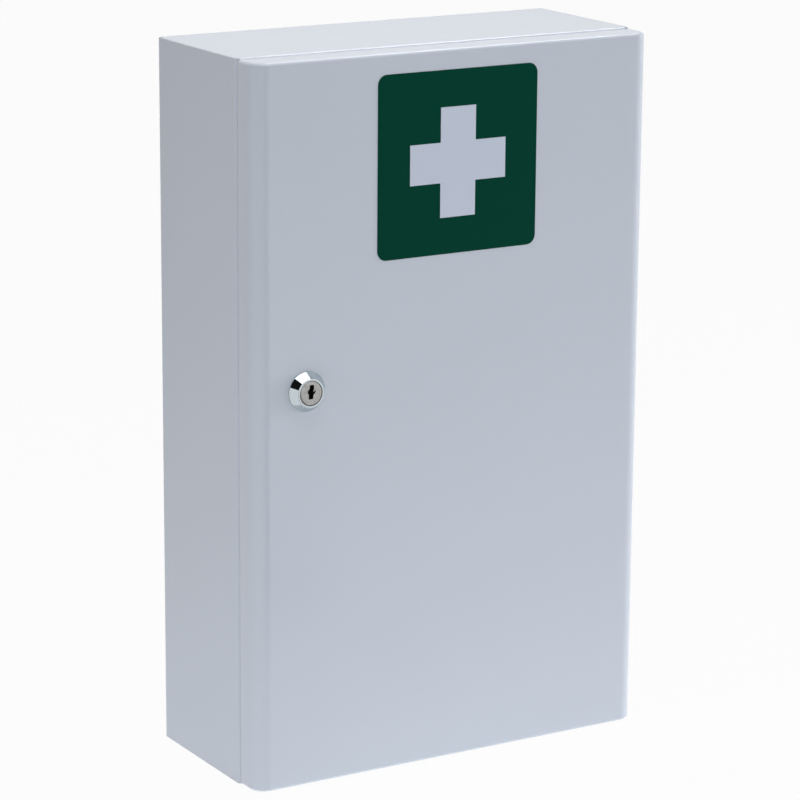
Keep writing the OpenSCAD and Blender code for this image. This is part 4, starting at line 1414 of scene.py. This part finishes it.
class CABINET_OT_stage(bpy.types.Operator):
    """Set the pale floor, the soft lights, the reflection cards and the camera"""

    bl_idname = "cabinet.stage"
    bl_label = "Stage"

    def execute(self, context):
        stage = context.scene.cabinet_stage
        self.camera(context.scene, stage)
        self.surroundings(context.scene, stage)
        self.floor(stage)
        self.lights(stage)
        self.cards()
        context.scene.view_settings.view_transform = "Standard"
        return {"FINISHED"}

    @staticmethod
    def camera(scene, stage):
        data = bpy.data.cameras.new("camera")
        data.sensor_width = 36
        data.lens = stage.lens
        data.clip_start, data.clip_end = 0.05, 50
        turn, rise, roll = (math.radians(a) for a in (stage.azimuth, stage.elevation,
                                                      stage.roll))
        back = Vector((math.sin(turn) * math.cos(rise), -math.cos(turn) * math.cos(rise),
                       math.sin(rise)))
        right = Vector((math.cos(turn), math.sin(turn), 0))
        up = back.cross(right)
        rolled_right = right * math.cos(roll) + up * math.sin(roll)
        rolled_up = up * math.cos(roll) - right * math.sin(roll)
        camera = bpy.data.objects.new("camera", data)
        turned_axes = Matrix((rolled_right, rolled_up, back)).transposed().to_4x4()
        camera.matrix_world = Matrix.Translation(stage.camera_at) @ turned_axes
        scene.collection.objects.link(camera)
        scene.camera = camera

    @staticmethod
    def surroundings(scene, stage):
        """White to the camera and in reflections, and a plain level for diffuse light."""
        world, tree = bare(bpy.data.worlds.new("surroundings"))
        seen = seen_by(tree, "Is Camera Ray", "Is Glossy Ray", "Is Transmission Ray")
        dim = add(tree, "Background", None, {"Color": (*stage.tint, 1), "Strength": stage.world})
        white = shining(tree, "Background", 1.0)
        add(tree, "OutputWorld", Surface=blend(tree, seen, dim, white))
        scene.world = world

    @staticmethod
    def floor(stage):
        """Pale, and lifted to white where the camera or a reflection sees it, but for the
        object's shadow."""
        material, tree = bare(bpy.data.materials.new("pale_floor"))
        seen = seen_by(tree, "Is Camera Ray", "Is Glossy Ray")
        share = arithmetic(tree, "MULTIPLY", seen, stage.floor_glow)
        matt = add(tree, "BsdfDiffuse", None, {"Color": (*stage.floor, 1)})
        glow = shining(tree, "Emission", 1.0)
        add(tree, "OutputMaterial", Surface=blend(tree, share, matt, glow))
        half, just_under = 6, -0.0003
        stage_mesh("floor", rectangle(-half, half, -half, half, just_under), material)

    @staticmethod
    def lights(stage):
        middle, upright = (0, 0, 0.2), (0.6, 0.8)
        soft_box("overhead_box", (-0.17, -0.33, 1.3), (-0.17, -0.33, 0), (1.18, 0.6),
                 stage.overhead, stage.tint, reflected=True)
        soft_box("top_box", (0, 0.05, 1.1), (0, 0.05, 0), (0.5, 0.4), stage.top, stage.tint)
        just_under = -0.15 * MM
        soft_box("table_box", (-0.05, -0.25, just_under), (-0.05, -0.25, 1), (1.1, 0.9),
                 stage.table, stage.tint)
        for name, azimuth, power in (("left_box", -80, stage.left),
                                     ("front_box", -25, stage.front),
                                     ("corner_box", 55, stage.corner),
                                     ("right_box", 80, stage.right)):
            soft_box(name, round_about(azimuth), middle, upright, power, stage.tint)

    @staticmethod
    def cards():
        """Cards that only reflections see. The dark one at the left, the grey one up at the
        right and the dark one in front are what the lock's cone mirrors. The bright one makes
        the thin highlights along the upper folds, and lies behind what the cone mirrors."""
        cards = (
            ("left_card", 0.01, [(-1.2, -1.1, 0.5), (-1.2, 0.6, 0.5), (-1.2, 0.6, 2.05),
                                 (-1.2, -1.1, 2.05)]),
            ("front_card", 0.01, [(-0.45, -1.8, 0.002), (0.28, -1.8, 0.002),
                                  (0.08, -0.3, 0.002), (-0.2, -0.3, 0.002)]),
            ("right_card", 0.42, rectangle(0.45, 3.0, -0.22, 1.8, 1.32)),
            ("bright_card", 8.5, rectangle(0.4, 1.0, 0.2, 0.8, 1.3)),
        )
        for name, strength, corners in cards:
            material, tree = bare(bpy.data.materials.new(name))
            shine = shining(tree, "Emission", strength)
            add(tree, "OutputMaterial", Surface=shine.outputs[0])
            card = stage_mesh(name, corners, material)
            for ray in ("camera", "diffuse", "shadow", "transmission", "volume_scatter"):
                setattr(card, "visible_" + ray, False)


# ---- panel and registration ----


PIECES = ("body_shell", "end_covers", "shelf_rails", "shelves", "shelf_clips", "door_pan",
          "door_buffers", "sign", "hinges", "lock_barrel", "lock_core", "stage")


class CABINET_PT_pieces(bpy.types.Panel):
    """The cabinet's pieces, sizes and finishes"""

    bl_label = "Medicine Cabinet"
    bl_idname = "CABINET_PT_pieces"
    bl_space_type = "VIEW_3D"
    bl_region_type = "UI"
    bl_category = "Cabinet"

    def draw(self, context):
        layout = self.layout
        for piece in PIECES:
            layout.operator("cabinet." + piece)
        for group in (context.scene.cabinet_sizes, context.scene.cabinet_finish,
                      context.scene.cabinet_stage):
            box = layout.box()
            for name in group.__annotations__:
                box.prop(group, name)


CLASSES = (
    CabinetSizes, CabinetFinish, StageSettings, CABINET_OT_body_shell, CABINET_OT_end_covers,
    CABINET_OT_shelf_rails, CABINET_OT_shelves, CABINET_OT_shelf_clips, CABINET_OT_door_pan,
    CABINET_OT_door_buffers, CABINET_OT_sign, CABINET_OT_hinges, CABINET_OT_lock_barrel,
    CABINET_OT_lock_core, CABINET_OT_stage, CABINET_PT_pieces,
)


def register():
    for cls in CLASSES:
        bpy.utils.register_class(cls)
    scene = bpy.types.Scene
    scene.cabinet_sizes = PointerProperty(type=CabinetSizes)
    scene.cabinet_finish = PointerProperty(type=CabinetFinish)
    scene.cabinet_stage = PointerProperty(type=StageSettings)


def unregister():
    for name in ("cabinet_sizes", "cabinet_finish", "cabinet_stage"):
        delattr(bpy.types.Scene, name)
    for cls in reversed(CLASSES):
        bpy.utils.unregister_class(cls)


def main():
    """Registers the classes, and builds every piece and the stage."""
    register()
    for piece in PIECES:
        getattr(bpy.ops.cabinet, piece)()


if __name__ == "__main__":
    main()
